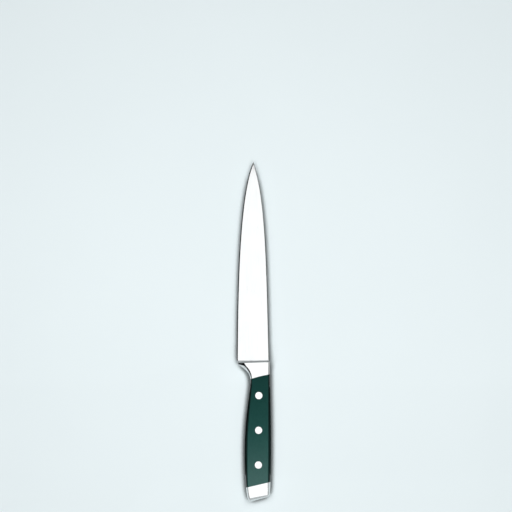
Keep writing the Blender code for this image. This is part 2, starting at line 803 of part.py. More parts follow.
def clear_scene():
    """Remove the objects that the scene starts with."""
    for obj in list(bpy.data.objects):
        bpy.data.objects.remove(obj, do_unlink=True)


def main():
    """Make the knife."""
    clear_scene()
    parts = collection_named("ham_knife")
    cutters = collection_named("ham_knife_cutters")
    blocks = {
        "handle": handle_mesh(),
        "rivet_holes": [hole_cutter(place, cutters) for place in rivet_places()],
        "dowel_holes": [dowel_cutter(place, cutters) for place in dowel_places()],
    }
    plastic = scale_plastic()
    steel = fitting_steel()
    pieces = [make_forging(blocks, cutters, parts)]
    for side, sign in (("left", 1), ("right", -1)):
        pieces.append(make_scale(side, sign, blocks, cutters, parts, plastic))
        pieces.append(make_butt_plate(side, sign, blocks, cutters, parts, steel))
    pieces += make_rivets(parts, steel)
    pieces += make_dowels(parts, steel)
    stand_on_origin(pieces, parts)


main()
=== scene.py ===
"""The looks of a forged ham knife that lies on a pale floor, seen from straight above.

Each mesh is drawn in the knife's own frame: X runs from the cutting edge to the spine, Y from the butt
to the tip, and Z through the thickness. Its origin is the place where the plunge line meets the spine,
at mid thickness. `Workbench` moves what is drawn to where the fixed frame holds the knife. Lengths are
in metres.
"""

from __future__ import annotations

import json
import logging
import math
from dataclasses import dataclass, field
from enum import Enum
from typing import Callable, Sequence, TypeVar

import bmesh
import bpy
from mathutils import Matrix, Vector

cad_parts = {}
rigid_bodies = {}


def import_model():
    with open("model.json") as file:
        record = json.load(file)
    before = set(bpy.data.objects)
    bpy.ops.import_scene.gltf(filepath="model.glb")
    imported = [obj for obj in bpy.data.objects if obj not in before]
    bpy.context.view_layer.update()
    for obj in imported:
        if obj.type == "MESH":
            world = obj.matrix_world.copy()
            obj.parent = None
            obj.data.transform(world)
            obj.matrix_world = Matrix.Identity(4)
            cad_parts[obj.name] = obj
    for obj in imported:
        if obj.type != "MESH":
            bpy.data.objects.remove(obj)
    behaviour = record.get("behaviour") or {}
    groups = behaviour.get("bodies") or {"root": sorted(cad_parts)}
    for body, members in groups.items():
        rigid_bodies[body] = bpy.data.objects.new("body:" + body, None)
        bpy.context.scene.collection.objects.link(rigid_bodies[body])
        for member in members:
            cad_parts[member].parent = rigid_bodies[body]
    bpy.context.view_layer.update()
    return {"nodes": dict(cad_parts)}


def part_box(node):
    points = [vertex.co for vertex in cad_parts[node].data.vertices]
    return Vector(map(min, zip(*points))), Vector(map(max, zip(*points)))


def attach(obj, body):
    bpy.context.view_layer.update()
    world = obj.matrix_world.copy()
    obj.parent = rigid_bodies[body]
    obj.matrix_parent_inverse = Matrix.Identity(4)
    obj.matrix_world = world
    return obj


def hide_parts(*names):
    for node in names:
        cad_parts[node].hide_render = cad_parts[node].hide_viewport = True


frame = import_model()

LOG = logging.getLogger("ham_knife")

Point = tuple[float, float]
Place = tuple[float, float, float]
Colour = tuple[float, float, float]
Measure = TypeVar("Measure", float, Point, Place)
Mesh = bpy.types.Mesh
Material = bpy.types.Material
Socket = bpy.types.NodeSocket

# The stretch from 0 to 1, and the one that holds most of a noise's values
WHOLE: Point = (0.0, 1.0)
MOST: Point = (0.3, 0.7)

# The axis stretch of the shorter grinding lines on bolster, butt plates and rivets
SHORT_LINES: Place = (1.0, 0.06, 1.0)


def slope(degrees: float) -> float:
    """Return the rise per length of a slant.

    Args:
        degrees: The slant's angle.

    Returns:
        The tangent of the angle.
    """
    return math.tan(math.radians(degrees))


def mix(start: Measure, end: Measure, share: float) -> Measure:
    """Return the number or point that lies at a share of the way.

    Args:
        start: A number or a point.
        end: A number or a point of the same size.
        share: 0 for the start, 1 for the end.

    Returns:
        A number, or a tuple as long as the points.
    """
    if isinstance(start, (int, float)):
        return start + (end - start) * share
    return tuple(a + (b - a) * share for a, b in zip(start, end))


def moved(point: Point, step: Point) -> Point:
    """Return a point moved by a step."""
    return (point[0] + step[0], point[1] + step[1])


def towards(start: Point, end: Point, distance: float) -> Point:
    """Return the point at a distance from start on the way to end."""
    return mix(start, end, distance / math.dist(start, end))


def curve(start: Point, leave: Point, reach: Point, end: Point) -> list[Point]:
    """Return the control points of a curve that leaves start by one pull and reaches end by another."""
    return [start, moved(start, leave), moved(end, reach), end]


def cubic(points: Sequence[Point], share: float) -> Point:
    """Return a point of a cubic curve.

    Args:
        points: The curve's four control points.
        share: 0 for the curve's start, 1 for its end.

    Returns:
        The point at that share.
    """
    rest = 1 - share
    weights = (rest**3, 3 * rest**2 * share, 3 * rest * share**2, share**3)
    return tuple(sum(w * point[axis] for w, point in zip(weights, points)) for axis in (0, 1))


def corner(start: Measure, apex: Measure, end: Measure, share: float) -> Measure:
    """Return a point of the rounding that leaves one line at start and joins the next at end."""
    return mix(mix(start, apex, share), mix(apex, end, share), share)


def gentle(share: float) -> float:
    """Return a share that starts and ends without a kink."""
    return share * share * (3 - 2 * share)


def shares(count: int, first: int = 0) -> list[float]:
    """Return evenly spaced shares from first/count up to 1."""
    return [index / count for index in range(first, count + 1)]


class Side(Enum):
    """The two sides of the handle, each with the sign of its Z."""

    LEFT = 1
    RIGHT = -1

    @property
    def word(self) -> str:
        """Return the side's name in lower case."""
        return self.name.lower()


class Cut(Enum):
    """What a carving step does with its tool."""

    TAKE_AWAY = "DIFFERENCE"
    KEEP_INSIDE = "INTERSECT"
    JOIN = "UNION"


@dataclass(frozen=True)
class BladeShape:
    """The blade's outline and its full flat grind.

    A pull says how far a curve's handle lies from the end that it belongs to. A chamfer eases the
    spine's corner, with a small rounding below it.
    """

    length: float = 0.1800
    heel_depth: float = 0.0292
    tip_depth: float = 0.0144
    spine_heel_pull: Point = (-0.0022, 0.0958)
    spine_tip_pull: Point = (0.0113, -0.0309)
    edge_heel_pull: Point = (0.0004, 0.1100)
    edge_tip_pull: Point = (-0.0094, -0.0228)
    heel_radius: float = 0.0005
    thickness_at_heel: float = 0.0025
    thickness_at_tip: float = 0.0010
    tip_taper: float = 0.14
    shoulder_thickness: float = 0.00036
    honed_width: float = 0.0008
    honed_share: float = 0.30
    spine_chamfer: float = 0.00065
    chamfer_slant: float = 15.0
    chamfer_share: float = 0.15
    spine_round: float = 0.00010
    point_width: float = 0.00012
    root_length: float = 0.0040
    root_inset: float = 0.0070
    stations: int = 220
    crowding: float = 1.5
    heel_steps: int = 8
    round_steps: int = 4
    bisections: int = 40

    def spine_curve(self) -> list[Point]:
        """Return the control points of the spine."""
        tip = (-self.tip_depth, self.length)
        return curve((0.0, 0.0), self.spine_heel_pull, self.spine_tip_pull, tip)

    def edge_curve(self) -> list[Point]:
        """Return the control points of the cutting edge."""
        heel, tip = (-self.heel_depth, 0.0), (-self.tip_depth, self.length)
        return curve(heel, self.edge_heel_pull, self.edge_tip_pull, tip)

    def across(self, points: Sequence[Point], station: float) -> float:
        """Return X where a curve that runs along the blade passes a station.

        Args:
            points: The curve's four control points, with Y rising along it.
            station: Y along the blade.

        Returns:
            X at that Y.
        """
        low, high = 0.0, 1.0
        for _ in range(self.bisections):
            middle = (low + high) / 2
            if cubic(points, middle)[1] < station:
                low = middle
            else:
                high = middle
        return cubic(points, low)[0]

    def widths(self, station: float) -> Point:
        """Return X of the cutting edge and of the spine at a station."""
        station = max(station, 0.0)
        return self.across(self.edge_curve(), station), self.across(self.spine_curve(), station)

    def spine_thickness(self, station: float, width: float) -> float:
        """Return the thickness at the spine, which runs out at the tip.

        Args:
            station: Y along the blade.
            width: The blade's width there.

        Returns:
            The thickness.
        """
        share = min(max(station, 0.0) / self.length, 1.0)
        full = mix(self.thickness_at_heel, self.thickness_at_tip, share)
        return min(full, self.shoulder_thickness + self.tip_taper * width)

    def half_thickness(self, x: float, station: float) -> float:
        """Return half the blade's thickness at a place on its flat grind.

        Args:
            x: X across the blade.
            station: Y along the blade.

        Returns:
            Half the thickness.
        """
        edge, spine = self.widths(station)
        share = min(max((x - edge) / (spine - edge), 0.0), 1.0)
        return mix(self.shoulder_thickness, self.spine_thickness(station, spine - edge), share) / 2

    def section(self, station: float, edge: float | None = None) -> list[Place]:
        """Return the closed outline of the blade at a station.

        Args:
            station: Y along the blade.
            edge: X of a pulled-in edge, as at the heel's rounding, or None for the true edge.

        Returns:
            Points round the section, from the cutting edge over the left side and back.
        """
        full_edge, spine = self.widths(station)
        edge = full_edge if edge is None else edge
        width = spine - edge
        honed = min(self.honed_width, self.honed_share * width)
        ease = min(self.spine_chamfer, self.chamfer_share * width)
        half = self.half_thickness(spine, station)
        low = half - ease * slope(self.chamfer_slant)
        small = min(self.spine_round, ease / 2, low / 2)
        shoulder = self.shoulder_thickness / 2 * honed / self.honed_width
        upper = [(edge + honed, shoulder)]
        flat, apex = (spine - ease, half), (spine, low)
        rounding = (towards(apex, flat, small), apex, (spine, low - small))
        upper += [flat] + [corner(*rounding, share) for share in shares(self.round_steps)]
        lower = [(x, -z) for x, z in reversed(upper)]
        return [(x, station, z) for x, z in [(edge, 0.0)] + upper + lower]

    def sections(self) -> list[list[Place]]:
        """Return the sections from the root inside the bolster to the point.

        Returns:
            Rings with as many points each.
        """
        heel = -self.heel_depth
        rings = [self.section(-self.root_length, heel + self.root_inset)]
        for share in shares(self.heel_steps, first=1)[:-1]:
            angle = math.pi / 2 * share
            inset = self.heel_radius * (1 - math.sin(angle))
            rings.append(self.section(self.heel_radius * (1 - math.cos(angle)), heel + inset))
        for share in shares(self.stations)[:-1]:
            station = mix(self.heel_radius, self.length, 1 - (1 - share) ** self.crowding)
            rings.append(self.section(station))
        last, tip = rings[-1], -self.tip_depth
        low, high = min(x for x, _, _ in last), max(x for x, _, _ in last)
        middle, shrink = (low + high) / 2, self.point_width / (high - low)
        rings.append([(tip + shrink * (x - middle), self.length, shrink * z) for x, _, z in last])
        return rings

    def mesh(self) -> Mesh:
        """Return the blade as one closed mesh.

        Returns:
            The new mesh.
        """
        rings = self.sections()
        caps = [[(ring, point) for point in range(len(rings[ring]))] for ring in (0, len(rings) - 1)]
        return lofted_mesh("blade_blank", rings, caps)


@dataclass(frozen=True)
class Rib:
    """One line over the handle's bevel, from the silhouette up to the border of the face.

    `foot` is the size of the rounding at the silhouette, `ease` that of the rounding onto the face, and
    `lean` the direction in which the latter runs on, where that isn't straight on from the silhouette.
    """

    outer: Point
    band: float
    inner: Point
    crown: float
    bulge: float
    ease: float
    foot: float
    on_ramp: bool = False
    lean: Point | None = None
    nudge: float = 0.001

    def climb(self, share: float) -> Place:
        """Return the point at a share of the way up the bevel.

        Args:
            share: 0 at the silhouette, 1 at the border of the face.

        Returns:
            The point.
        """
        swell = self.bulge * math.sin(math.pi * share)
        x, y = mix(self.outer, self.inner, share - swell)
        return (x, y, mix(self.band, self.crown, share + swell))

    def foot_apex(self, share: float) -> Place:
        """Return where the bevel, run on down from a share of its way, meets the upright side.

        Args:
            share: How far up the bevel it starts.

        Returns:
            The place on the upright side.
        """
        low, high = self.climb(share), self.climb(share + self.nudge)
        steepness = (high[2] - low[2]) / math.dist(low[:2], high[:2])
        return (*self.outer, low[2] - steepness * math.dist(low[:2], self.outer))


@dataclass(frozen=True)
class HandleShape:
    """The shape that bolster, scales and butt share: a silhouette, bevels and a flat face each side.

    Depths go from the spine line towards the edge, and rises go beyond the spine. Steps of the ramp
    at the finger guard are taken from the guard's tip.
    """

    blade: BladeShape = field(default_factory=BladeShape)
    bolster_length: float = 0.0118
    grip_length: float = 0.0973
    cap_length: float = 0.0129
    plunge_slant: float = 1.6
    front_joint_slant: float = 14.0
    rear_joint_slant: float = 13.2
    butt_slant: float = 15.8
    butt_side_lean: float = 23.0
    neck_depth: float = 0.0170
    neck_setback: float = 0.0052
    neck_front_pull: float = 0.0075
    neck_rear_pull: float = 0.0105
    belly_depth: float = 0.0222
    belly_setback: float = 0.0640
    belly_front_pull: float = 0.0310
    belly_rear_pull: float = 0.0100
    butt_depth: float = 0.0181
    butt_side_pull: float = 0.0075
    butt_rise: float = 0.00085
    bolster_rise: float = 0.00065
    back_front_pull: Point = (-0.0001, -0.0369)
    back_rear_pull: Point = (0.0018, 0.0596)
    butt_edge_round: float = 0.0019
    butt_spine_round: float = 0.0030
    front_corner_setback: float = 0.0016
    guard_tip_inset: float = 0.00005
    guard_tip_drop: float = 0.0024
    guard_round: float = 0.0006
    guard_pull: Point = (0.0043, -0.0030)
    guard_shoulder: float = 0.42
    thickness: float = 0.0152
    bevel_drop: float = 0.0036
    guard_band_height: float = 0.0022
    neck_bevel: float = 0.0015
    belly_bevel: float = 0.0027
    back_bevel_front: float = 0.00145
    butt_edge_inset: Point = (0.0004, 0.0039)
    butt_spine_inset: Point = (-0.0022, 0.0016)
    face_corner_round: float = 0.0006
    bevel_bulge: float = 0.12
    ramp_top_reach: float = 0.00655
    ramp_shoulder_step: Point = (0.00855, -0.0022)
    ramp_shoulder_pull: Point = (0.0030, -0.0026)
    neck_face_pull: float = 0.00525
    ramp_toe_step: Point = (0.00120, -0.0005)
    ramp_heel_step: Point = (0.00115, 0.0007)
    ramp_foot_height: float = 0.0024
    plunge_setback: float = 0.0008
    plunge_run: float = 0.0020
    plunge_bulge: float = -0.25
    plunge_spine_inset: float = 0.0003
    plunge_first_share: float = 0.022
    buried_share: float = 0.85
    front_joint_bow: float = 0.00035
    tang_thickness: float = 0.0030
    outer_ease: float = 0.0012
    soft_ease: float = 0.00028
    crisp_ease: float = 0.00012
    ridge_bevel: float = 0.00010
    guard_tip_ribs: int = 6
    ramp_ribs: int = 18
    guard_ribs_count: int = 30
    neck_ribs: int = 44
    belly_ribs_count: int = 40
    butt_edge_ribs: int = 12
    butt_spine_ribs: int = 16
    back_ribs_count: int = 50
    plunge_ribs: int = 26
    ramp_front_ribs: int = 8
    bevel_steps: int = 8
    foot_steps: int = 6
    ease_steps: int = 3

    @property
    def half(self) -> float:
        """Return half the handle's thickness."""
        return self.thickness / 2

    @property
    def half_tang(self) -> float:
        """Return half the tang's thickness."""
        return self.tang_thickness / 2

    @property
    def half_side_band(self) -> float:
        """Return half the height of the flat band round the grip and the butt."""
        return self.half - self.bevel_drop

    @property
    def rear_y(self) -> float:
        """Return Y of the rear joint at the spine side."""
        return -self.bolster_length - self.grip_length

    @property
    def butt_y(self) -> float:
        """Return Y of the butt's corner at the spine side."""
        return self.rear_y - self.cap_length

    @property
    def neck(self) -> Point:
        """Return the narrowest place of the silhouette, on the edge side."""
        return (-self.neck_depth, -self.bolster_length - self.neck_setback)

    def plunge_y(self, x: float) -> float:
        """Return Y of the front border of the bolster's flat face."""
        return x * slope(self.plunge_slant) - self.plunge_setback

    def front_joint_y(self, x: float) -> float:
        """Return Y of the bowed joint between bolster and scales.

        Args:
            x: X across the knife.

        Returns:
            Y at that X.
        """
        share = min(max(-x / self.neck_depth, 0.0), 1.0)
        bow = 4 * self.front_joint_bow * share * (1 - share)
        return -self.bolster_length + x * slope(self.front_joint_slant) + bow

    def rear_joint_y(self, x: float) -> float:
        """Return Y of the joint between scales and butt plates."""
        return self.rear_y + x * slope(self.rear_joint_slant)

    def guard_tip(self) -> Point:
        """Return the corner where the heel's side and the guard's curve would meet unrounded."""
        return (self.guard_tip_inset - self.blade.heel_depth, -self.guard_tip_drop)

    def ramp_top(self) -> Point:
        """Return the corner of the flat face where the ramp leaves the plunge."""
        x = self.guard_tip()[0] + self.ramp_top_reach
        return (x, self.plunge_y(x))

    def ramp_shoulder(self) -> Point:
        """Return the corner of the flat face where the ramp leaves the guard's bevel."""
        return moved(self.guard_tip(), self.ramp_shoulder_step)

    def ramp_toe(self) -> Point:
        """Return the ramp's lowest corner, beside the guard's tip."""
        return moved(self.guard_tip(), self.ramp_toe_step)

    def ramp_heel(self) -> Point:
        """Return the ramp's corner at the blade's heel."""
        return moved(self.guard_tip(), self.ramp_heel_step)

    def ramp_height(self, point: Point) -> float:
        """Return Z of the ramp, a plane that leaves the flat face along its slanted corner.

        Args:
            point: A place on the ramp.

        Returns:
            Z there, on the left side.
        """
        top = Vector(self.ramp_top())
        along = (Vector(self.ramp_shoulder()) - top).normalized()
        away = Vector((along.y, -along.x))
        fall = (Vector(self.ramp_toe()) - top).dot(away)
        return mix(self.half, self.ramp_foot_height, (Vector(point) - top).dot(away) / fall)

    def guard_curve(self) -> list[Point]:
        """Return the control points of the guard's silhouette, from its tip to the neck."""
        start = towards(self.guard_tip(), moved(self.guard_tip(), self.guard_pull), self.guard_round)
        return curve(start, self.guard_pull, (0.0, self.neck_front_pull), self.neck)

    def buried_band(self, point: Point) -> float:
        """Return the half height of a rib's start that lies inside the blade."""
        return self.blade.half_thickness(point[0], point[1]) * self.buried_share

    def guard_band(self, share: float) -> float:
        """Return half the height of the guard's side, which swells from its tip to the neck."""
        return mix(self.guard_band_height / 2, self.half_side_band, gentle(share))

    def ramp_rib(self, outer: Point, band: float, inner: Point, bulge: float = 0.0) -> Rib:
        """Return a rib that ends on the ramp."""
        ease = self.crisp_ease
        return Rib(outer, band, inner, self.ramp_height(inner), bulge, ease, ease, on_ramp=True)

    def side_rib(self, outer: Point, inner: Point) -> Rib:
        """Return a rib of the bevel that runs round the grip and the butt."""
        band, foot = self.half_side_band, self.outer_ease
        return Rib(outer, band, inner, self.half, self.bevel_bulge, self.soft_ease, foot)

    def heel_ribs(self) -> list[Rib]:
        """Return the ribs round the blunt heel, from the plunge to the guard's rounded tip.

        Returns:
            The ribs in that order.
        """
        tip, small = self.guard_tip(), self.guard_round
        front = (tip[0], self.plunge_y(tip[0]) + self.plunge_run)
        heel_turn = (moved(front, (small, 0.0)), front, moved(front, (0.0, -small)))
        tip_turn = (moved(tip, (0.0, small)), tip, self.guard_curve()[0])
        outers = [corner(*heel_turn, share) for share in shares(self.guard_tip_ribs)]
        outers += [corner(*tip_turn, share) for share in shares(self.guard_tip_ribs)[:-1]]
        ribs = []
        for index, outer in enumerate(outers):
            inner = mix(self.ramp_heel(), self.ramp_toe(), index / len(outers))
            swell = min(index / self.guard_tip_ribs, 1.0)
            band = mix(self.buried_band(outer), self.guard_band_height / 2, swell)
            ribs.append(self.ramp_rib(outer, band, inner))
        return ribs

    def guard_ribs(self) -> list[Rib]:
        """Return the ribs along the finger guard: first below the ramp, then below the flat face.

        Returns:
            The ribs, from the guard's tip to the neck.
        """
        ribs = []
        for share in shares(self.ramp_ribs)[:-1]:
            outer = cubic(self.guard_curve(), self.guard_shoulder * share)
            inner = mix(self.ramp_toe(), self.ramp_shoulder(), share)
            ribs.append(self.ramp_rib(outer, self.guard_band(self.guard_shoulder * share), inner))
        end = moved(self.neck, (self.neck_bevel, 0.0))
        face = curve(self.ramp_shoulder(), self.ramp_shoulder_pull, (0.0, self.neck_face_pull), end)
        for share in shares(self.guard_ribs_count):
            place = mix(self.guard_shoulder, 1.0, share)
            bulge = self.bevel_bulge * min(1.0, 2 * share)
            ease, foot = (mix(self.crisp_ease, full, share) for full in (self.soft_ease, self.outer_ease))
            lean = self.ridge_step(1) if share == 0 else None
            outer, inner = cubic(self.guard_curve(), place), cubic(face, share)
            ribs.append(Rib(outer, self.guard_band(place), inner, self.half, bulge, ease, foot, lean=lean))
        return ribs

    def ridge_step(self, sign: int) -> Point:
        """Return the direction of the ridge between ramp and face, from its shoulder for sign 1."""
        run = Vector(self.ramp_top()) - Vector(self.ramp_shoulder())
        return tuple(run.normalized() * sign)

    def butt_corners(self) -> tuple[Point, Point]:
        """Return the corners of the butt's silhouette, before they are rounded.

        Returns:
            The corner at the edge side and the one at the spine side.
        """
        spine_corner = (self.butt_rise, self.butt_y)
        drop = (self.butt_depth + self.butt_rise) * slope(self.butt_slant)
        return (-self.butt_depth, self.butt_y - drop), spine_corner

    def butt_side(self, length: float) -> Point:
        """Return a step of a length along the silhouette, from the butt's corner to the belly."""
        lean = math.radians(self.butt_side_lean)
        return (-math.sin(lean) * length, math.cos(lean) * length)

    def belly_ribs(self) -> list[Rib]:
        """Return the ribs along the edge side of the grip, from the neck to the butt.

        Returns:
            The ribs in that order, without the one at the neck.
        """
        belly = (-self.belly_depth, self.neck[1] - self.belly_setback)
        edge_corner, _ = self.butt_corners()
        end = moved(edge_corner, self.butt_side(self.butt_edge_round))
        pull = self.butt_side(self.butt_side_pull)
        face_neck = moved(self.neck, (self.neck_bevel, 0.0))
        face_belly = moved(belly, (self.belly_bevel, 0.0))
        face_end = moved(moved(edge_corner, self.butt_edge_inset), (0.0, self.face_corner_round))
        face_pull = moved(pull, (self.butt_edge_inset[0], 0.0))
        down, up, on = (0.0, -self.neck_rear_pull), (0.0, self.belly_front_pull), (0.0, -self.belly_rear_pull)
        runs = [
            (curve(self.neck, down, up, belly), curve(face_neck, down, up, face_belly), self.neck_ribs),
            (curve(belly, on, pull, end), curve(face_belly, on, face_pull, face_end), self.belly_ribs_count),
        ]
        return [
            self.side_rib(cubic(outer, share), cubic(inner, share))
            for outer, inner, count in runs
            for share in shares(count, first=1)
        ]

    def butt_ribs(self) -> list[Rib]:
        """Return the ribs round the butt: a tight corner, the slanted end and a wider corner.

        Returns:
            The ribs in that order.
        """
        edge_corner, spine_corner = self.butt_corners()
        face_edge = moved(edge_corner, self.butt_edge_inset)
        face_spine = moved(spine_corner, self.butt_spine_inset)
        tight, wide, small = self.butt_edge_round, self.butt_spine_round, self.face_corner_round
        start = moved(edge_corner, self.butt_side(tight))
        turns = [
            (
                (start, edge_corner, towards(edge_corner, spine_corner, tight)),
                (moved(face_edge, (0.0, small)), face_edge, towards(face_edge, face_spine, small)),
                shares(self.butt_edge_ribs, first=1),
            ),
            (
                (towards(spine_corner, edge_corner, wide), spine_corner, moved(spine_corner, (0.0, wide))),
                (towards(face_spine, face_edge, small), face_spine, moved(face_spine, (0.0, small))),
                shares(self.butt_spine_ribs),
            ),
        ]
        return [
            self.side_rib(corner(*outer, share), corner(*inner, share))
            for outer, inner, places in turns
            for share in places
        ]

    def back_ribs(self) -> list[Rib]:
        """Return the ribs along the spine side, from the butt to the corner at the plunge.

        Returns:
            The ribs in that order.
        """
        start = (self.butt_rise, self.butt_y + self.butt_spine_round)
        end = (self.bolster_rise, self.plunge_run - self.plunge_setback - self.front_corner_setback)
        outer = curve(start, self.back_rear_pull, self.back_front_pull, end)
        _, spine_corner = self.butt_corners()
        face_start = moved(moved(spine_corner, self.butt_spine_inset), (0.0, self.face_corner_round))
        face_x = self.bolster_rise - self.back_bevel_front
        face_end = (face_x, self.plunge_y(face_x))
        ribs = []
        for share in shares(self.back_ribs_count, first=1):
            point = cubic(outer, share)
            inner = mix(face_start, face_end, (point[1] - start[1]) / (end[1] - start[1]))
            ribs.append(self.side_rib(point, inner))
        return ribs

    def front_ribs(self) -> list[Rib]:
        """Return the ribs of the plunge, from the spine side to the top of the ramp and the heel.

        Returns:
            The ribs in that order.
        """
        face_x = self.bolster_rise - self.back_bevel_front
        top = self.ramp_top()
        ribs = []
        for share in [self.plunge_first_share] + shares(self.plunge_ribs, first=1):
            x = mix(face_x, top[0], share)
            outer_x = mix(-self.plunge_spine_inset, top[0], share)
            outer = (outer_x, self.plunge_y(outer_x) + self.plunge_run)
            lean = self.ridge_step(-1) if share == 1 else None
            band = self.buried_band(outer)
            inner = (x, self.plunge_y(x))
            ease = self.crisp_ease
            ribs.append(Rib(outer, band, inner, self.half, self.plunge_bulge, ease, ease, lean=lean))
        for share in shares(self.ramp_front_ribs, first=1)[:-1]:
            inner = mix(top, self.ramp_heel(), share)
            outer = (inner[0], self.plunge_y(inner[0]) + self.plunge_run)
            ribs.append(self.ramp_rib(outer, self.buried_band(outer), inner, self.plunge_bulge))
        return ribs

    def ribs(self) -> list[Rib]:
        """Return all ribs, counter-clockwise as seen on the left face."""
        edge_side = self.heel_ribs() + self.guard_ribs() + self.belly_ribs()
        return edge_side + self.butt_ribs() + self.back_ribs() + self.front_ribs()

    def profile(self, rib: Rib) -> list[Place]:
        """Return the points of a rib from the side band, over both roundings, onto the face.

        Args:
            rib: The rib to follow.

        Returns:
            As many points for every rib.
        """
        run = math.dist((*rib.outer, rib.band), (*rib.inner, rib.crown))
        start, end = rib.foot / run, 1 - rib.ease / run
        low_ease = min(rib.foot, rib.band / 2)
        step = rib.lean or Vector(rib.inner) - Vector(rib.outer)
        inset = tuple(Vector(rib.inner) + Vector(step).normalized() * rib.ease)
        height = self.ramp_height(inset) if rib.on_ramp else rib.crown
        side = (*rib.outer, rib.band - low_ease)
        foot = (side, rib.foot_apex(start), rib.climb(start))
        brow = (rib.climb(end), (*rib.inner, rib.crown), (*inset, height))
        low = [corner(*foot, share) for share in shares(self.foot_steps)]
        middle = [rib.climb(mix(start, end, share)) for share in shares(self.bevel_steps)]
        high = [corner(*brow, share) for share in shares(self.ease_steps)]
        return low[:-1] + middle + high[1:]

    def block(self) -> Mesh:
        """Return bolster, scales and butt together as one closed mesh, before it is parted.

        Returns:
            The new mesh.
        """
        ribs = self.ribs()
        profiles = [self.profile(rib) for rib in ribs]
        upper = [list(ring) for ring in reversed(list(zip(*profiles)))]
        lower = [[(x, y, -z) for x, y, z in ring] for ring in reversed(upper)]
        rings = upper + lower
        shoulder, top = [index for index, rib in enumerate(ribs) if rib.lean]
        face = list(range(shoulder, top + 1))
        ramp = list(range(top, len(ribs))) + list(range(shoulder + 1))
        ends = (0, len(rings) - 1)
        caps = [[(ring, point) for point in border] for ring in ends for border in (face, ramp)]
        ridges = [((ring, shoulder), (ring, top)) for ring in ends]
        return lofted_mesh("handle_block", rings, caps, ridges, self.ridge_bevel)


def lofted_mesh(
    name: str,
    rings: Sequence[Sequence[Place]],
    caps: Sequence[Sequence[tuple[int, int]]],
    ridges: Sequence[tuple[tuple[int, int], tuple[int, int]]] = (),
    ridge_bevel: float = 0.0,
) -> Mesh:
    """Return a closed mesh that joins rings of points.

    Args:
        name: The mesh's name.
        rings: Rings with as many points each.
        caps: Faces that close the ends, as lists of (ring, point) places.
        ridges: Edges between caps that get a narrow bevel, as pairs of places.
        ridge_bevel: The width of that bevel.

    Returns:
        The new mesh.
    """
    bm = bmesh.new()
    rows = [[bm.verts.new(point) for point in ring] for ring in rings]
    for row, following in zip(rows, rows[1:]):
        for index in range(len(row)):
            after = (index + 1) % len(row)
            bm.faces.new((row[index], row[after], following[after], following[index]))
    for cap in caps:
        bm.faces.new([rows[ring][point] for ring, point in cap])
    edges = [bm.edges.get((rows[a[0]][a[1]], rows[b[0]][b[1]])) for a, b in ridges]
    if edges:
        bmesh.ops.bevel(bm, geom=edges, offset=ridge_bevel, segments=2, profile=0.5, affect="EDGES")
    return kept_mesh(name, bm)


def kept_mesh(name: str, bm: bmesh.types.BMesh) -> Mesh:
    """Return a new mesh with what a bmesh holds, its faces turned outwards, and free the bmesh.

    Args:
        name: The mesh's name.
        bm: The bmesh.

    Returns:
        The new mesh.
    """
    bmesh.ops.recalc_face_normals(bm, faces=bm.faces)
    mesh = bpy.data.meshes.new(name)
    bm.to_mesh(mesh)
    bm.free()
    return mesh


def prism(name: str, outline: Sequence[Point], low: float, high: float) -> Mesh:
    """Return a closed mesh with a flat outline and upright sides.

    Args:
        name: The mesh's name.
        outline: Points of (X, Y) round it.
        low: Z of its base.
        high: Z of its top.

    Returns:
        The new mesh.
    """
    bm = bmesh.new()
    base = bm.faces.new([bm.verts.new((x, y, low)) for x, y in outline])
    grown = bmesh.ops.extrude_face_region(bm, geom=[base])["geom"]
    top = [item for item in grown if isinstance(item, bmesh.types.BMVert)]
    bmesh.ops.translate(bm, verts=top, vec=(0.0, 0.0, high - low))
    return kept_mesh(name, bm)


def turned(name: str, profiles: Sequence[tuple[Point, Sequence[Point]]], steps: int) -> Mesh:
    """Return turned bodies in one mesh.

    Args:
        name: The mesh's name.
        profiles: For each body its centre and its profile of (radius, Z), which starts and ends at
            radius 0.
        steps: How many faces go round.

    Returns:
        The new mesh.
    """
    bm = bmesh.new()
    for centre, profile in profiles:
        rings = []
        for radius, z in profile:
            if radius == 0.0:
                rings.append([bm.verts.new((centre[0], centre[1], z))])
                continue
            turn = [2 * math.pi * index / steps for index in range(steps)]
            points = [(centre[0] + radius * math.cos(a), centre[1] + radius * math.sin(a), z) for a in turn]
            rings.append([bm.verts.new(point) for point in points])
        for ring, following in zip(rings, rings[1:]):
            for index in range(steps):
                after = (index + 1) % steps
                face = [ring[index % len(ring)], ring[after % len(ring)]]
                face += [following[after % len(following)], following[index % len(following)]]
                bm.faces.new(list(dict.fromkeys(face)))
    return kept_mesh(name, bm)


def carved(mesh: Mesh, steps: Sequence[tuple[Cut, Mesh]], weld: float = 0.000005) -> Mesh:
    """Return a mesh after carving steps, each with its own tool.

    Args:
        mesh: The mesh to start from, which is left as it is.
        steps: What to do, and with which closed mesh.
        weld: Points closer than this become one.

    Returns:
        The carved mesh.
    """
    holder = bpy.data.objects.new("carving", mesh.copy())
    tools = [bpy.data.objects.new(tool.name, tool) for _, tool in steps]
    for obj in [holder, *tools]:
        bpy.context.scene.collection.objects.link(obj)
    for (cut, _), tool in zip(steps, tools):
        modifier = holder.modifiers.new(tool.name, "BOOLEAN")
        modifier.operation = cut.value
        modifier.object = tool
        modifier.solver = "EXACT"
    graph = bpy.context.evaluated_depsgraph_get()
    result = bpy.data.meshes.new_from_object(holder.evaluated_get(graph))
    for obj in [holder, *tools]:
        bpy.data.objects.remove(obj)
    bm = bmesh.new()
    bm.from_mesh(result)
    bmesh.ops.remove_doubles(bm, verts=bm.verts, dist=weld)
    bmesh.ops.dissolve_degenerate(bm, edges=bm.edges, dist=weld)
    bm.to_mesh(result)
    bm.free()
    return result


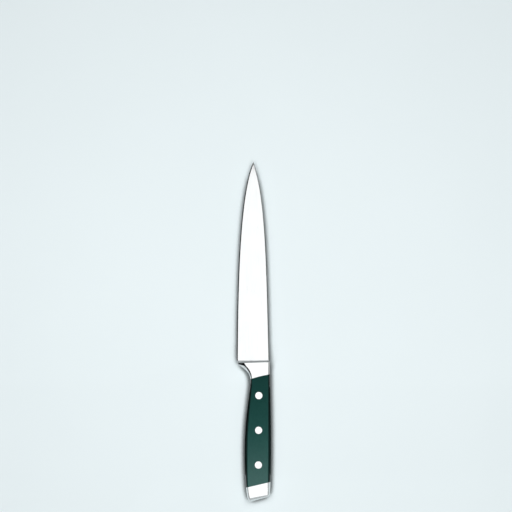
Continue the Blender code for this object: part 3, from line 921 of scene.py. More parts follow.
class Sheet:
    """A material under work, with short ways to add nodes and wire them."""

    def __init__(self, name: str) -> None:
        """Start a material with an empty Principled surface.

        Args:
            name: The material's name.
        """
        self.material = bpy.data.materials.new(name)
        self.material.use_nodes = True
        self.tree = self.material.node_tree
        self.shader = self.tree.nodes["Principled BSDF"]
        self.place = self.tree.nodes.new("ShaderNodeTexCoord").outputs["Object"]

    def wire(self, source: Socket, target: Socket) -> None:
        """Link one socket to another."""
        self.tree.links.new(source, target)

    def settle(self, **numbers: float | Colour) -> None:
        """Set the shader's own sockets, named with underscores for blanks.

        Args:
            **numbers: A number or a colour for each socket.
        """
        for name, value in numbers.items():
            socket = self.shader.inputs[name.replace("_", " ").title().replace("Ior", "IOR")]
            socket.default_value = (*value, 1.0) if isinstance(value, tuple) else value

    def noise(self, scale: float, stretch: Place = (1.0, 1.0, 1.0), detail: float = 3.0) -> Socket:
        """Return noise from 0 to 1, in steps per metre, drawn out along the axes with a small stretch.

        Args:
            scale: How many steps go in a metre.
            stretch: A factor on the steps along X, Y and Z.
            detail: How many finer layers lie on top.

        Returns:
            The socket that gives the noise.
        """
        mapping = self.tree.nodes.new("ShaderNodeMapping")
        mapping.inputs["Scale"].default_value = stretch
        self.wire(self.place, mapping.inputs["Vector"])
        texture = self.tree.nodes.new("ShaderNodeTexNoise")
        texture.inputs["Scale"].default_value = scale
        texture.inputs["Detail"].default_value = detail
        self.wire(mapping.outputs["Vector"], texture.inputs["Vector"])
        return texture.outputs["Fac"]

    def spread(self, source: Socket, window: Point, reach: Point) -> Socket:
        """Return a value that goes over a reach while the source goes over a window, and no further.

        Args:
            source: The socket that is followed.
            window: The source's values between which the result changes.
            reach: The result at the window's two ends.

        Returns:
            The socket that gives the result.
        """
        node = self.tree.nodes.new("ShaderNodeMapRange")
        for name, value in zip(("From Min", "From Max", "To Min", "To Max"), (*window, *reach)):
            node.inputs[name].default_value = value
        self.wire(source, node.inputs["Value"])
        return node.outputs["Result"]

    def sum(self, total: Socket, *others: Socket) -> Socket:
        """Return the sum of some values.

        Args:
            total: The first value.
            *others: What is added to it.

        Returns:
            The socket that gives the sum.
        """
        for other in others:
            node = self.tree.nodes.new("ShaderNodeMath")
            node.operation = "ADD"
            self.wire(total, node.inputs[0])
            self.wire(other, node.inputs[1])
            total = node.outputs["Value"]
        return total

    def blend(self, share: Socket, low: Colour, high: Colour) -> Socket:
        """Return a colour between two, by a share that is wired in.

        Args:
            share: 0 for the low colour, 1 for the high one.
            low: The first colour.
            high: The second colour.

        Returns:
            The socket that gives the colour.
        """
        node = self.tree.nodes.new("ShaderNodeMix")
        node.data_type = "RGBA"
        node.inputs["A"].default_value = (*low, 1.0)
        node.inputs["B"].default_value = (*high, 1.0)
        self.wire(share, node.inputs["Factor"])
        return node.outputs["Result"]

    def level(self) -> Socket:
        """Return how level the surface lies, whichever side is up.

        Returns:
            The socket that gives it, from 0 for upright to 1 for level.
        """
        axes = self.tree.nodes.new("ShaderNodeSeparateXYZ")
        self.wire(self.place.node.outputs["Normal"], axes.inputs["Vector"])
        size = self.tree.nodes.new("ShaderNodeMath")
        size.operation = "ABSOLUTE"
        self.wire(axes.outputs["Z"], size.inputs[0])
        return size.outputs["Value"]

    def relief(self, height: Socket, depth: float) -> None:
        """Raise and lower the surface.

        Args:
            height: The relief, from 0 to 1.
            depth: How deep that is, in metres.
        """
        node = self.tree.nodes.new("ShaderNodeBump")
        node.inputs["Strength"].default_value = 1.0
        node.inputs["Distance"].default_value = depth
        self.wire(height, node.inputs["Height"])
        self.wire(node.outputs["Normal"], self.shader.inputs["Normal"])


@dataclass(frozen=True)
class GroundSteel:
    """Stainless steel with the fine lines of a grinding belt or a polishing wheel.

    `lines` holds the steps per metre across the lines, and `along` the axis stretch that draws them
    out. Broader streaks and sparse scratches run the same way, and a slow cloud changes the tone. Each
    tone says how far its noise goes between the darker and the lighter colour.
    """

    name: str
    colour: Colour = (0.74, 0.75, 0.75)
    tone: float = 0.05
    roughness: float = 0.24
    roughness_spread: float = 0.025
    lines: float = 4200.0
    along: Place = (1.0, 0.02, 1.0)
    depth: float = 0.0000006
    streaks: float = 750.0
    scratch_steps: float = 1700.0
    cloud_steps: float = 60.0
    line_tone: Point = (-0.2, 0.2)
    streak_tone: Point = (0.0, 0.6)
    cloud_tone: Point = (0.0, 0.4)
    streak_window: Point = (0.35, 0.65)
    scratch_window: Point = (0.70, 0.78)
    scratch_roughness: float = 0.08

    def material(self) -> Material:
        """Return the finish as a material.

        Returns:
            The new material.
        """
        sheet = Sheet(self.name)
        sheet.settle(metallic=1.0)
        lines = sheet.noise(self.lines, self.along)
        streaks = sheet.noise(self.streaks, self.along)
        scratches = sheet.noise(self.scratch_steps, self.along, detail=1.0)
        scratches = sheet.spread(scratches, self.scratch_window, WHOLE)
        cloud = sheet.noise(self.cloud_steps)
        darker = tuple(channel * (1 - self.tone) for channel in self.colour)
        lighter = tuple(min(channel * (1 + self.tone), 1.0) for channel in self.colour)
        tone = sheet.sum(
            sheet.spread(streaks, MOST, self.streak_tone),
            sheet.spread(lines, MOST, self.line_tone),
            sheet.spread(cloud, MOST, self.cloud_tone),
        )
        sheet.wire(sheet.blend(tone, darker, lighter), sheet.shader.inputs["Base Color"])
        reach = (self.roughness - self.roughness_spread, self.roughness + self.roughness_spread)
        gloss = sheet.sum(
            sheet.spread(streaks, self.streak_window, reach),
            sheet.spread(scratches, WHOLE, (0.0, self.scratch_roughness)),
        )
        sheet.wire(gloss, sheet.shader.inputs["Roughness"])
        sheet.relief(sheet.sum(lines, scratches), self.depth)
        return sheet.material


@dataclass(frozen=True)
class ScalePlastic:
    """Dark green-black plastic with a fine grain, faint mottling and handling marks.

    The flat faces are sanded flush with the rivets, which leaves them less glossy. The bevels carry
    painted shade: their colour is the dark tone cut down to a small share, so they stay much darker
    than the faces. They are also smoother by `polish`. `face_tilt` holds how level a surface has to lie
    to count as face: the upright share of its normal at which the face's finish and its unshaded colour
    start and are full. `mark_relief` says how deep a mark goes, as a share of the grain's depth.
    """

    name: str
    dark: Colour = (0.0050, 0.0530, 0.0450)
    light: Colour = (0.0100, 0.0700, 0.0600)
    roughness: float = 0.30
    ior: float = 1.46
    grain_steps: float = 5200.0
    grain_detail: float = 2.0
    grain_depth: float = 0.000003
    mottle_steps: float = 420.0
    mottle_detail: float = 5.0
    mark_steps: float = 900.0
    mark_along: Place = (1.0, 0.08, 1.0)
    mark_window: Point = (0.66, 0.76)
    mark_roughness: float = 0.04
    mark_relief: float = -0.8
    mottle_tone: Point = (0.2, 0.6)
    mottle_roughness: float = 0.02
    grain_window: Point = (0.4, 0.6)
    grain_tone: Point = (-0.1, 0.2)
    specular_level: float = 0.18
    polished_share: float = 0.20
    polish: float = 0.08
    face_tilt: Point = (0.80, 0.97)

    def material(self) -> Material:
        """Return the finish as a material.

        Returns:
            The new material.
        """
        sheet = Sheet(self.name)
        sheet.settle(metallic=0.0, ior=self.ior, specular_ior_level=self.specular_level)
        grain = sheet.noise(self.grain_steps, detail=self.grain_detail)
        mottle = sheet.noise(self.mottle_steps, detail=self.mottle_detail)
        marks = sheet.noise(self.mark_steps, self.mark_along, detail=1.0)
        marks = sheet.spread(marks, self.mark_window, WHOLE)
        tone = sheet.sum(
            sheet.spread(mottle, MOST, self.mottle_tone),
            sheet.spread(grain, self.grain_window, self.grain_tone),
        )
        # Painted shade: the bevels get a much darker colour than the level faces, which are also rougher.
        satin_unshaded_face = sheet.spread(sheet.level(), self.face_tilt, WHOLE)
        painted_darker = tuple(channel * self.polished_share for channel in self.dark)
        colour = sheet.blend(satin_unshaded_face, painted_darker, self.light)
        sheet.wire(sheet.blend(tone, self.dark, self.light), colour.node.inputs["B"])
        sheet.wire(colour, sheet.shader.inputs["Base Color"])
        reach = (self.roughness - self.mottle_roughness, self.roughness + self.mottle_roughness)
        gloss = sheet.sum(
            sheet.spread(mottle, MOST, reach),
            sheet.spread(marks, WHOLE, (0.0, self.mark_roughness)),
            sheet.spread(satin_unshaded_face, WHOLE, (-self.polish, 0.0)),
        )
        sheet.wire(gloss, sheet.shader.inputs["Roughness"])
        sheet.relief(sheet.sum(grain, sheet.spread(marks, WHOLE, (0.0, self.mark_relief))), self.grain_depth)
        return sheet.material


@dataclass(frozen=True)
class FloorPaint:
    """Matt pale paint with a barely visible unevenness, which darkens close to what lies on it.

    The darkening is a painted shadow, drawn from how much of the space round each place is open. It
    has one reach beside the handle and a longer one beside the blade, which lies higher. It changes
    from one to the other over the stretch `contact_change`, Y in the fixed frame.
    """

    name: str = "pale_floor"
    low: Colour = (0.77, 0.85, 0.87)
    high: Colour = (0.80, 0.88, 0.90)
    steps: float = 7.0
    roughness: float = 0.85
    # The painted shadow: how far it looks, where that changes, and how dark it paints.
    contact_reach: Point = (0.0088, 0.0175)
    contact_change: Point = (-0.036, -0.024)
    contact_window: Point = (0.56, 0.76)
    contact_share: Point = (0.19, 1.0)
    contact_colour: Colour = (0.05, 0.06, 0.06)

    def material(self) -> Material:
        """Return the finish as a material.

        Returns:
            The new material.
        """
        sheet = Sheet(self.name)
        sheet.settle(roughness=self.roughness)
        paint = sheet.blend(sheet.noise(self.steps), self.low, self.high)
        # Painted shadow: the paint turns dark where little of the space above it is open.
        nearness = sheet.tree.nodes.new("ShaderNodeAmbientOcclusion")
        along = sheet.tree.nodes.new("ShaderNodeSeparateXYZ")
        sheet.wire(sheet.place, along.inputs["Vector"])
        reach = sheet.spread(along.outputs["Y"], self.contact_change, self.contact_reach)
        sheet.wire(reach, nearness.inputs["Distance"])
        open_share = sheet.spread(nearness.outputs["AO"], self.contact_window, self.contact_share)
        shaded = sheet.blend(open_share, self.contact_colour, self.high)
        sheet.wire(paint, shaded.node.inputs["B"])
        sheet.wire(shaded, sheet.shader.inputs["Base Color"])
        return sheet.material


@dataclass(frozen=True)
class CardStock:
    """A card of one tone that no lamp changes."""

    name: str
    tone: float = 0.0

    def material(self) -> Material:
        """Return the finish as a material.

        Returns:
            The new material.
        """
        sheet = Sheet(self.name)
        grey = (self.tone,) * 3
        sheet.settle(base_color=(0.0, 0.0, 0.0), emission_color=grey, emission_strength=1.0)
        sheet.settle(roughness=1.0, specular_ior_level=0.0)
        return sheet.material


@dataclass
class Workbench:
    """Turns meshes drawn in the knife's own frame into pieces that ride on the fixed frame.

    `seat` is the step from the knife's own frame to the fixed one.
    """

    seat: Vector
    sharp_angle: float = 26.0
    pieces: list[str] = field(default_factory=list)

    def mount(
        self,
        name: str,
        mesh: Mesh,
        node: str,
        materials: Sequence[Material],
        choose: Callable[[Vector], int] | None = None,
    ) -> bpy.types.Object:
        """Place a mesh as a piece that stands for a node.

        Args:
            name: The piece's name.
            mesh: The mesh in the knife's own frame, which the piece takes over.
            node: The node that it stands for.
            materials: The finishes on it.
            choose: Gives the finish's number for the middle of a face, or None for the first.

        Returns:
            The new object.
        """
        mesh.name = name
        mesh.materials.clear()
        for material in materials:
            mesh.materials.append(material)
        for polygon in mesh.polygons:
            polygon.material_index = choose(polygon.center) if choose else 0
        mesh.shade_smooth()
        mesh.set_sharp_from_angle(angle=math.radians(self.sharp_angle))
        self.part_finishes(mesh)
        mesh.transform(Matrix.Translation(self.seat))
        piece = bpy.data.objects.new(name, mesh)
        bpy.context.scene.collection.objects.link(piece)
        weighted = piece.modifiers.new("weighted", "WEIGHTED_NORMAL")
        weighted.keep_sharp = True
        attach(piece, "root")
        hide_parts(node)
        self.pieces.append(name)
        LOG.info("%s stands for %s with %d faces", name, node, len(mesh.polygons))
        return piece

    @staticmethod
    def part_finishes(mesh: Mesh) -> None:
        """Shade the edges sharp where two finishes meet.

        Args:
            mesh: A mesh whose faces have their finishes.
        """
        seen: dict[int, int] = {}
        sharp = mesh.attributes.get("sharp_edge") or mesh.attributes.new("sharp_edge", "BOOLEAN", "EDGE")
        for polygon in mesh.polygons:
            for loop in polygon.loop_indices:
                edge = mesh.loops[loop].edge_index
                if seen.setdefault(edge, polygon.material_index) != polygon.material_index:
                    sharp.data[edge].value = True


@dataclass(frozen=True)
class Joints:
    """Where the handle is parted, and how fine the gaps are that show as lines."""

    handle: HandleShape
    hairline: float = 0.00006
    rivet_seat_gap: float = 0.00010
    margin: float = 0.0040
    steps: int = 24

    def line(self, joint: Callable[[float], float], shift: float = 0.0) -> list[Point]:
        """Return points along a joint, from the spine side to the edge side.

        Args:
            joint: Gives the joint's Y at an X.
            shift: How far the points lie from it along the knife.

        Returns:
            The points, which reach out past both sides.
        """
        far = -self.handle.belly_depth - self.margin
        places = [mix(self.margin, far, share) for share in shares(self.steps)]
        return [(x, joint(x) + shift) for x in places]

    def behind(self, joint: Callable[[float], float]) -> list[Point]:
        """Return the outline of everything behind a joint, out past the butt.

        Args:
            joint: Gives the joint's Y at an X.

        Returns:
            Points round the outline.
        """
        line = self.line(joint)
        far = self.handle.butt_y - self.handle.belly_depth - self.margin
        return line + [(line[-1][0], far), (line[0][0], far)]

    def between(self) -> list[Point]:
        """Return the outline of a scale's length, a hairline clear of bolster and butt plate.

        Returns:
            Points round the outline.
        """
        front = self.line(self.handle.front_joint_y, -self.hairline)
        rear = self.line(self.handle.rear_joint_y, self.hairline)
        return front + rear[::-1]

    def side_room(self, name: str, outline: Sequence[Point], side: Side) -> Mesh:
        """Return the space of one side of the handle, from just over the tang outwards.

        Args:
            name: The mesh's name.
            outline: Points round the space.
            side: The side that it lies on.

        Returns:
            The space as a closed mesh.
        """
        reach = (self.handle.half_tang + self.hairline / 2, self.handle.half + self.margin)
        low, high = sorted(side.value * z for z in reach)
        return prism(name, outline, low, high)


@dataclass(frozen=True)
class Rivets:
    """Three cutler's rivets, each a tube half with a bore and a pin half that fills it."""

    handle: HandleShape
    joints: Joints
    names: tuple[str, ...] = ("front_rivet", "middle_rivet", "rear_rivet")
    front_setback: float = 0.0191
    rear_setback: float = 0.0156
    front_depth: float = 0.0094
    rear_depth: float = 0.0098
    head: float = 0.0067
    head_thickness: float = 0.0020
    head_round: float = 0.00022
    head_ring_share: float = 0.5
    shank: float = 0.0050
    bore: float = 0.0032
    closing_gap: float = 0.0006
    steps: int = 72
    round_steps: int = 4

    @property
    def under(self) -> float:
        """Return Z of a left head's underside."""
        return self.handle.half - self.head_thickness

    @property
    def end(self) -> float:
        """Return Z of a left half's end, just short of the right head."""
        return self.closing_gap - self.under

    def places(self) -> list[Point]:
        """Return the rivets' centres, evenly spaced from the front of the scales to the rear.

        Returns:
            One centre for each name.
        """
        front = (-self.front_depth, -self.handle.bolster_length - self.front_setback)
        rear = (-self.rear_depth, self.handle.rear_y + self.rear_setback)
        return [mix(front, rear, share) for share in shares(len(self.names) - 1)]

    def holes(self) -> Mesh:
        """Return the tool for all rivet holes, with a seat for a head at each end.

        Returns:
            The tool as a closed mesh.
        """
        gap = self.joints.rivet_seat_gap
        head, shank = self.head / 2 + gap, self.shank / 2 + gap
        seat = self.handle.half - self.head_thickness - gap
        top = self.handle.half + self.joints.margin
        profile = [(0.0, top), (head, top), (head, seat), (shank, seat)]
        profile += [(radius, -z) for radius, z in reversed(profile)]
        return turned("rivet_holes", [(place, profile) for place in self.places()], self.steps)

    def head_profile(self) -> list[Point]:
        """Return the outline of a head, from its middle over a rounded rim down to its underside.

        Returns:
            Places of (radius, Z).
        """
        radius, top = self.head / 2, self.handle.half
        rim = ((radius - self.head_round, top), (radius, top), (radius, top - self.head_round))
        rounding = [corner(*rim, share) for share in shares(self.round_steps)]
        return [(0.0, top), (radius * self.head_ring_share, top), *rounding, (radius, self.under)]

    def tube_profile(self) -> list[Point]:
        """Return the outline of the half with the bore, which opens towards the right side.

        Returns:
            Places of (radius, Z).
        """
        outside, inside = self.shank / 2, self.bore / 2
        wall = [(outside, self.under), (outside, self.end), (inside, self.end), (inside, self.under)]
        return self.head_profile() + wall + [(0.0, self.under)]

    def pin_profile(self) -> list[Point]:
        """Return the outline of the half with the pin, drawn with its head up."""
        pin = self.bore / 2 - self.joints.rivet_seat_gap
        return self.head_profile() + [(pin, self.under), (pin, self.end), (0.0, self.end)]

    def build(self, bench: Workbench, finish: Material) -> None:
        """Make both halves of every rivet.

        Args:
            bench: Where the pieces are mounted.
            finish: The steel of the rivets.
        """
        pin = [(radius, -z) for radius, z in reversed(self.pin_profile())]
        for name, place in zip(self.names, self.places()):
            tube = turned(name, [(place, self.tube_profile())], self.steps)
            bench.mount(f"{name}_left_half", tube, f"{name}_tube", [finish])
            solid = turned(name, [(place, pin)], self.steps)
            bench.mount(f"{name}_right_half", solid, f"{name}_pin", [finish])


@dataclass(frozen=True)
class Dowels:
    """Two hidden dowels that carry the butt plates. Only their holes are cut here."""

    handle: HandleShape
    joints: Joints
    depths: tuple[float, float] = (0.0050, 0.0145)
    setback: float = 0.0060
    diameter: float = 0.0030
    cover: float = 0.0024
    steps: int = 40

    def holes(self) -> Mesh:
        """Return the tool for both holes, which are blind in the butt plates.

        Returns:
            The tool as a closed mesh.
        """
        radius = self.diameter / 2 + self.joints.rivet_seat_gap
        top = self.handle.half - self.cover + self.joints.rivet_seat_gap
        profile = [(0.0, top), (radius, top), (radius, -top), (0.0, -top)]
        places = [(-depth, self.handle.rear_joint_y(-depth) - self.setback) for depth in self.depths]
        return turned("dowel_holes", [(place, profile) for place in places], self.steps)

    def dress(self, finish: Material) -> None:
        """Give the hidden dowels their finish.

        Args:
            finish: The steel of the dowels.
        """
        for name in ("upper_butt_dowel", "lower_butt_dowel"):
            mesh = frame["nodes"][name].data
            mesh.materials.clear()
            mesh.materials.append(finish)
            LOG.info("%s keeps its shape", name)


class ForgingFinish(Enum):
    """The finishes on the forging, in the order of its material slots.

    The second finish is for the honed edge and for the chamfer along the spine. It is smoother, as a
    honed edge is, and darker than the blade's steel: painted shade that gives the blade a dark outline
    along its edge and its spine.
    """

    BLADE = 0
    HONED = 1
    BOLSTER = 2
    TANG = 3


@dataclass(frozen=True)
class Forging:
    """Blade, bolster with finger guard, and tang, in one piece."""

    handle: HandleShape
    joints: Joints
    rivets: Rivets
    dowels: Dowels
    blade_margin: float = 0.00006

    def shape(self, block: Mesh) -> Mesh:
        """Return the forging, carved from the handle's block and joined to the blade.

        Args:
            block: The handle's block, which is left as it is.

        Returns:
            The forging as a closed mesh.
        """
        pocket = self.joints.behind(self.handle.front_joint_y)
        far = self.handle.half + self.joints.margin
        tang = self.handle.half_tang
        steps = [
            (Cut.TAKE_AWAY, prism("left_pocket", pocket, tang, far)),
            (Cut.TAKE_AWAY, prism("right_pocket", pocket, -far, -tang)),
            (Cut.TAKE_AWAY, self.rivets.holes()),
            (Cut.TAKE_AWAY, self.dowels.holes()),
            (Cut.JOIN, self.handle.blade.mesh()),
        ]
        return carved(block, steps)

    def choose(self, middle: Vector) -> int:
        """Return the finish for a face.

        Args:
            middle: The face's middle, in the knife's own frame.

        Returns:
            The finish's number.
        """
        blade = self.handle.blade
        if middle.y < self.handle.front_joint_y(middle.x):
            return ForgingFinish.TANG.value
        if middle.y < 0 or abs(middle.z) > blade.half_thickness(middle.x, middle.y) + self.blade_margin:
            return ForgingFinish.BOLSTER.value
        edge, spine = blade.widths(middle.y)
        honed = min(blade.honed_width, blade.honed_share * (spine - edge))
        eased = min(blade.spine_chamfer, blade.chamfer_share * (spine - edge))
        # The faces along the edge and along the spine get the darker steel, a painted outline.
        painted_darker = middle.x - edge < honed or spine - middle.x < eased
        return (ForgingFinish.HONED if painted_darker else ForgingFinish.BLADE).value

    def build(self, bench: Workbench, block: Mesh, finishes: Sequence[Material]) -> None:
        """Make the forging."""
        mesh = self.shape(block)
        bench.mount("ground_forging", mesh, "blade_forging", finishes, self.choose)


@dataclass(frozen=True)
class GripScales:
    """The two riveted scales, flush with bolster, tang and butt plates."""

    handle: HandleShape
    joints: Joints
    rivets: Rivets

    def build(self, bench: Workbench, block: Mesh, finish: Material) -> None:
        """Make both scales.

        Args:
            bench: Where the pieces are mounted.
            block: The handle's block, which is left as it is.
            finish: The plastic of the scales.
        """
        for side in Side:
            room = self.joints.side_room(f"{side.word}_scale_room", self.joints.between(), side)
            mesh = carved(block, [(Cut.KEEP_INSIDE, room), (Cut.TAKE_AWAY, self.rivets.holes())])
            bench.mount(f"{side.word}_grip_scale", mesh, f"{side.word}_scale", [finish])


@dataclass(frozen=True)
class ButtPlates:
    """The two plates of the butt cap."""

    handle: HandleShape
    joints: Joints
    dowels: Dowels

    def build(self, bench: Workbench, block: Mesh, finish: Material) -> None:
        """Make both plates.

        Args:
            bench: Where the pieces are mounted.
            block: The handle's block, which is left as it is.
            finish: The steel of the plates.
        """
        outline = self.joints.behind(self.handle.rear_joint_y)
        for side in Side:
            room = self.joints.side_room(f"{side.word}_plate_room", outline, side)
            mesh = carved(block, [(Cut.KEEP_INSIDE, room), (Cut.TAKE_AWAY, self.dowels.holes())])
            bench.mount(f"{side.word}_butt_cap", mesh, f"{side.word}_butt_plate", [finish])


@dataclass(frozen=True)
class Softbox:
    """A flat lamp that hangs level over the knife and lights only what it is meant for.

    `reach` holds Y of its rear and front border, and `shift` X of its middle.
    """

    name: str
    reach: Point
    width: float
    height: float
    radiance: float
    shift: float = 0.0

    def build(self, receivers: Sequence[bpy.types.Object]) -> None:
        """Hang the lamp.

        Args:
            receivers: The objects that it lights.
        """
        rear, front = self.reach
        light = bpy.data.lights.new(self.name, "AREA")
        light.shape = "RECTANGLE"
        light.size, light.size_y = self.width, front - rear
        light.energy = self.radiance * math.pi * light.size * light.size_y
        lamp = bpy.data.objects.new(self.name, light)
        lamp.location = (self.shift, (front + rear) / 2, self.height)
        lamp.visible_camera = False
        bpy.context.scene.collection.objects.link(lamp)
        lit = bpy.data.collections.new(f"{self.name}_lights")
        for piece in receivers:
            lit.objects.link(piece)
        lamp.light_linking.receiver_collection = lit
        LOG.info("%s lights %d objects", self.name, len(receivers))


@dataclass(frozen=True)
class Studio:
    """A pale floor, softboxes overhead, cards that only reflections show, and a camera from above.

    The steel, the scales and the floor have softboxes of their own, so that each gets the tone that
    it has in the photograph. Three black flags hang where the honed edge, the spine's chamfer and the
    plunge mirror them, and a black card stands before the finger guard's ramp. Grey cards lie beside
    the handle and the bolster, for their bevels.

    `view_middle` is the place under the middle of the photograph, and `view_width` the width that it
    shows there. `sky_bands` holds heights, from 0 at the horizon to 1 overhead, and whether the
    surroundings are pale there. The ramp's card runs off from `ramp_foot` in the direction `ramp_aim`,
    in degrees from X. `card_reach` holds how far from there it starts and ends, and `card_width` how
    wide it is at both. A flag, and the bolster's card, are given by two opposite corners.
    """

    view_middle: Point = (0.00186, 0.06839)
    view_width: float = 0.4626
    lens: float = 250.0
    sensor: float = 36.0
    camera_clip: float = 20.0
    floor_reach: float = 16.0
    floor_turns: tuple[float, ...] = (-150.0, -30.0, 90.0)
    pale_sky: Colour = (0.60, 0.63, 0.64)
    dark_sky: Colour = (0.07, 0.08, 0.085)
    sky_bands: tuple[tuple[float, bool], ...] = ((0.04, False), (0.12, True), (0.78, True), (0.89, False))
    flag_height: float = 0.99
    flags: tuple[tuple[str, Point, Point], ...] = (
        ("edge_side_flag", (-0.62, -0.20), (-0.30, 0.46)),
        ("spine_side_flag", (0.36, -0.20), (0.72, 0.46)),
        ("front_flag", (-0.30, 0.46), (0.36, 0.85)),
    )
    steel_boxes: tuple[Softbox, ...] = (
        Softbox("steel_box", (-0.75, 0.46), width=0.66, height=1.0, radiance=1.38, shift=0.03),
    )
    floor_boxes: tuple[Softbox, ...] = (
        Softbox("floor_box", (-0.45, 0.45), width=0.90, height=1.1, radiance=4.81),
        Softbox("floor_fill", (-4.0, 4.0), width=8.0, height=4.0, radiance=0.36),
    )
    scale_boxes: tuple[Softbox, ...] = (
        Softbox("scale_fill", (-0.12, 0.30), width=0.50, height=0.75, radiance=0.30, shift=0.10),
        Softbox("butt_scale_box", (-0.45, -0.13), width=0.24, height=0.20, radiance=5.2, shift=0.06),
    )
    ramp_foot: Point = (-0.0114, -0.0300)
    ramp_aim: float = 212.0
    card_reach: Point = (0.024, 0.50)
    card_width: Point = (0.042, 0.30)
    card_height: float = 0.14
    card_lift: float = 0.0005
    side_card_starts: Point = (-0.0088, 0.0150)
    side_card_width: float = 0.30
    side_card_rear: float = -0.130
    side_card_fronts: Point = (-0.0465, -0.050)
    side_card_tone: float = 0.06
    bolster_card: tuple[Point, Point] = ((0.018, -0.049), (0.15, -0.020))
    bolster_card_tone: float = 0.45

    def build(self, floor_finish: Material) -> None:
        """Make floor, cards, lights, surroundings and camera.

        Args:
            floor_finish: The floor's material.
        """
        reach, turns = self.floor_reach, [math.radians(turn) for turn in self.floor_turns]
        corners = [(reach * math.cos(a), reach * math.sin(a), 0.0) for a in turns]
        floor = self.sheet("pale_floor", corners, floor_finish)
        self.set_cards()
        scales = [obj for obj in bpy.data.objects if obj.name.endswith("grip_scale")]
        steel = [obj for obj in bpy.data.objects if obj.type == "MESH" and obj not in [*scales, floor]]
        lit = ((self.steel_boxes, steel), (self.floor_boxes, [floor]), (self.scale_boxes, scales))
        for boxes, receivers in lit:
            for box in boxes:
                box.build(receivers)
        bpy.context.scene.world = self.room()
        bpy.context.scene.view_settings.view_transform = "Standard"
        self.set_camera()

    def room(self) -> bpy.types.World:
        """Return surroundings that are dark overhead, pale below and dark again at the horizon.

        Returns:
            The world, which only reflections and the camera show.
        """
        world = bpy.data.worlds.new("studio_room")
        world.use_nodes = True
        world.cycles_visibility.diffuse = False
        tree = world.node_tree
        place = tree.nodes.new("ShaderNodeTexCoord")
        axes = tree.nodes.new("ShaderNodeSeparateXYZ")
        bands = tree.nodes.new("ShaderNodeValToRGB")
        bands.color_ramp.interpolation = "EASE"
        while len(bands.color_ramp.elements) < len(self.sky_bands):
            bands.color_ramp.elements.new(1.0)
        for stop, (height, pale) in zip(bands.color_ramp.elements, self.sky_bands):
            stop.position = height
            stop.color = (*(self.pale_sky if pale else self.dark_sky), 1.0)
        tree.links.new(place.outputs["Generated"], axes.inputs["Vector"])
        tree.links.new(axes.outputs["Z"], bands.inputs["Fac"])
        tree.links.new(bands.outputs["Color"], tree.nodes["Background"].inputs["Color"])
        return world

    @staticmethod
    def sheet(name: str, corners: Sequence[Place], finish: Material) -> bpy.types.Object:
        """Return a flat stage object.

        Args:
            name: The object's name.
            corners: The places round it.
            finish: The material on it.

        Returns:
            The new object.
        """
        mesh = bpy.data.meshes.new(name)
        mesh.from_pydata(corners, [], [tuple(range(len(corners)))])
        mesh.materials.append(finish)
        stage = bpy.data.objects.new(name, mesh)
        bpy.context.scene.collection.objects.link(stage)
        return stage

    def card(self, name: str, corners: Sequence[Place], stock: Material) -> None:
        """Set up a card that only reflections show."""
        card = self.sheet(name, corners, stock)
        card.visible_camera = card.visible_diffuse = card.visible_shadow = False

    def level_card(self, name: str, start: Point, end: Point, height: float, stock: Material) -> None:
        """Set up a card that lies level, from one corner to the opposite one."""
        ring = (start, (end[0], start[1]), end, (start[0], end[1]))
        self.card(name, [(*point, height) for point in ring], stock)

    def ramp_card(self, stock: Material) -> None:
        """Set up the card before the ramp, flat on the floor and then upright.

        Args:
            stock: The material on it.
        """
        aim = math.radians(self.ramp_aim)
        away, aside = Vector((math.cos(aim), math.sin(aim))), Vector((-math.sin(aim), math.cos(aim)))
        near, far = [
            [tuple(Vector(self.ramp_foot) + away * reach + aside * width * sign / 2) for sign in (1, -1)]
            for reach, width in zip(self.card_reach, self.card_width)
        ]
        low = [(*point, self.card_lift) for point in far]
        high = [(*point, self.card_height) for point in far[::-1]]
        self.card("black_floor_card", [(*point, self.card_lift) for point in near] + low[::-1], stock)
        self.card("black_upright_card", low + high, stock)

    def set_cards(self) -> None:
        """Set up all cards."""
        black = CardStock("black_card").material()
        grey = CardStock("grey_card", self.side_card_tone).material()
        light_grey = CardStock("light_grey_card", self.bolster_card_tone).material()
        self.ramp_card(black)
        for name, start, end in self.flags:
            self.level_card(name, start, end, self.flag_height, black)
        for side, x, front in zip(Side, self.side_card_starts, self.side_card_fronts):
            end = (x - side.value * self.side_card_width, front)
            self.level_card(f"grey_card_{side.word}", (x, self.side_card_rear), end, self.card_lift, grey)
        self.level_card("light_grey_card", *self.bolster_card, self.card_lift, light_grey)

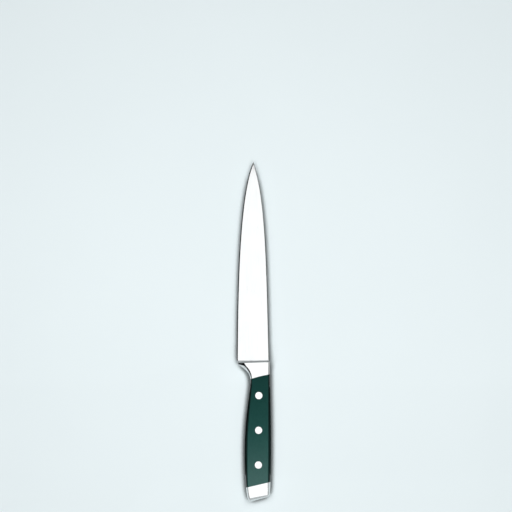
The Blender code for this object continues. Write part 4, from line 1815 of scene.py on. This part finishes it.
    def set_camera(self) -> None:
        """Hang the camera over the knife, so that it frames what the photograph shows."""
        camera = bpy.data.cameras.new("overhead_camera")
        camera.sensor_width = self.sensor
        camera.lens = self.lens
        camera.clip_end = self.camera_clip
        holder = bpy.data.objects.new("overhead_camera", camera)
        distance = self.view_width * self.lens / self.sensor
        holder.location = (*self.view_middle, HandleShape().half + distance)
        bpy.context.scene.collection.objects.link(holder)
        bpy.context.scene.camera = holder
        LOG.info("the camera hangs %.2f m up", distance)


def knife_seat(handle: HandleShape, rivets: Rivets) -> Vector:
    """Return the step from the knife's own frame to the fixed one, read off the front rivet.

    Args:
        handle: The handle's shape, for its thickness.
        rivets: The rivets, for the front one's place.

    Returns:
        The step, in metres.
    """
    low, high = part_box("front_rivet_tube")
    place = rivets.places()[0]
    return Vector(((low.x + high.x) / 2 - place[0], (low.y + high.y) / 2 - place[1], high.z - handle.half))


def main() -> None:
    """Dress the knife and light it."""
    logging.basicConfig(level=logging.INFO, format="%(name)s: %(message)s")
    handle = HandleShape()
    joints = Joints(handle)
    rivets = Rivets(handle, joints)
    dowels = Dowels(handle, joints)
    bench = Workbench(knife_seat(handle, rivets))
    block = handle.block()
    blade_steel = GroundSteel("blade_steel").material()
    # Painted shade: the honed edge's steel is darker than the blade's, which draws a dark outline along edge
    # and spine.
    honed_and_outline_steel = GroundSteel("honed_edge", colour=(0.60, 0.61, 0.61), roughness=0.12).material()
    bolster_steel = GroundSteel("bolster_steel", along=SHORT_LINES, roughness=0.15).material()
    tang_steel = GroundSteel("tang_steel", roughness=0.30).material()
    fitting = GroundSteel("fitting_steel", colour=(0.77, 0.78, 0.78), along=SHORT_LINES, roughness=0.20)
    fitting_steel = fitting.material()
    plastic = ScalePlastic("green_black_plastic").material()
    steels = [blade_steel, honed_and_outline_steel, bolster_steel, tang_steel]
    Forging(handle, joints, rivets, dowels).build(bench, block, steels)
    GripScales(handle, joints, rivets).build(bench, block, plastic)
    ButtPlates(handle, joints, dowels).build(bench, block, fitting_steel)
    rivets.build(bench, fitting_steel)
    dowels.dress(fitting_steel)
    Studio().build(FloorPaint().material())
    LOG.info("%d pieces ride on the frame", len(bench.pieces))


if __name__ == "__main__":
    main()
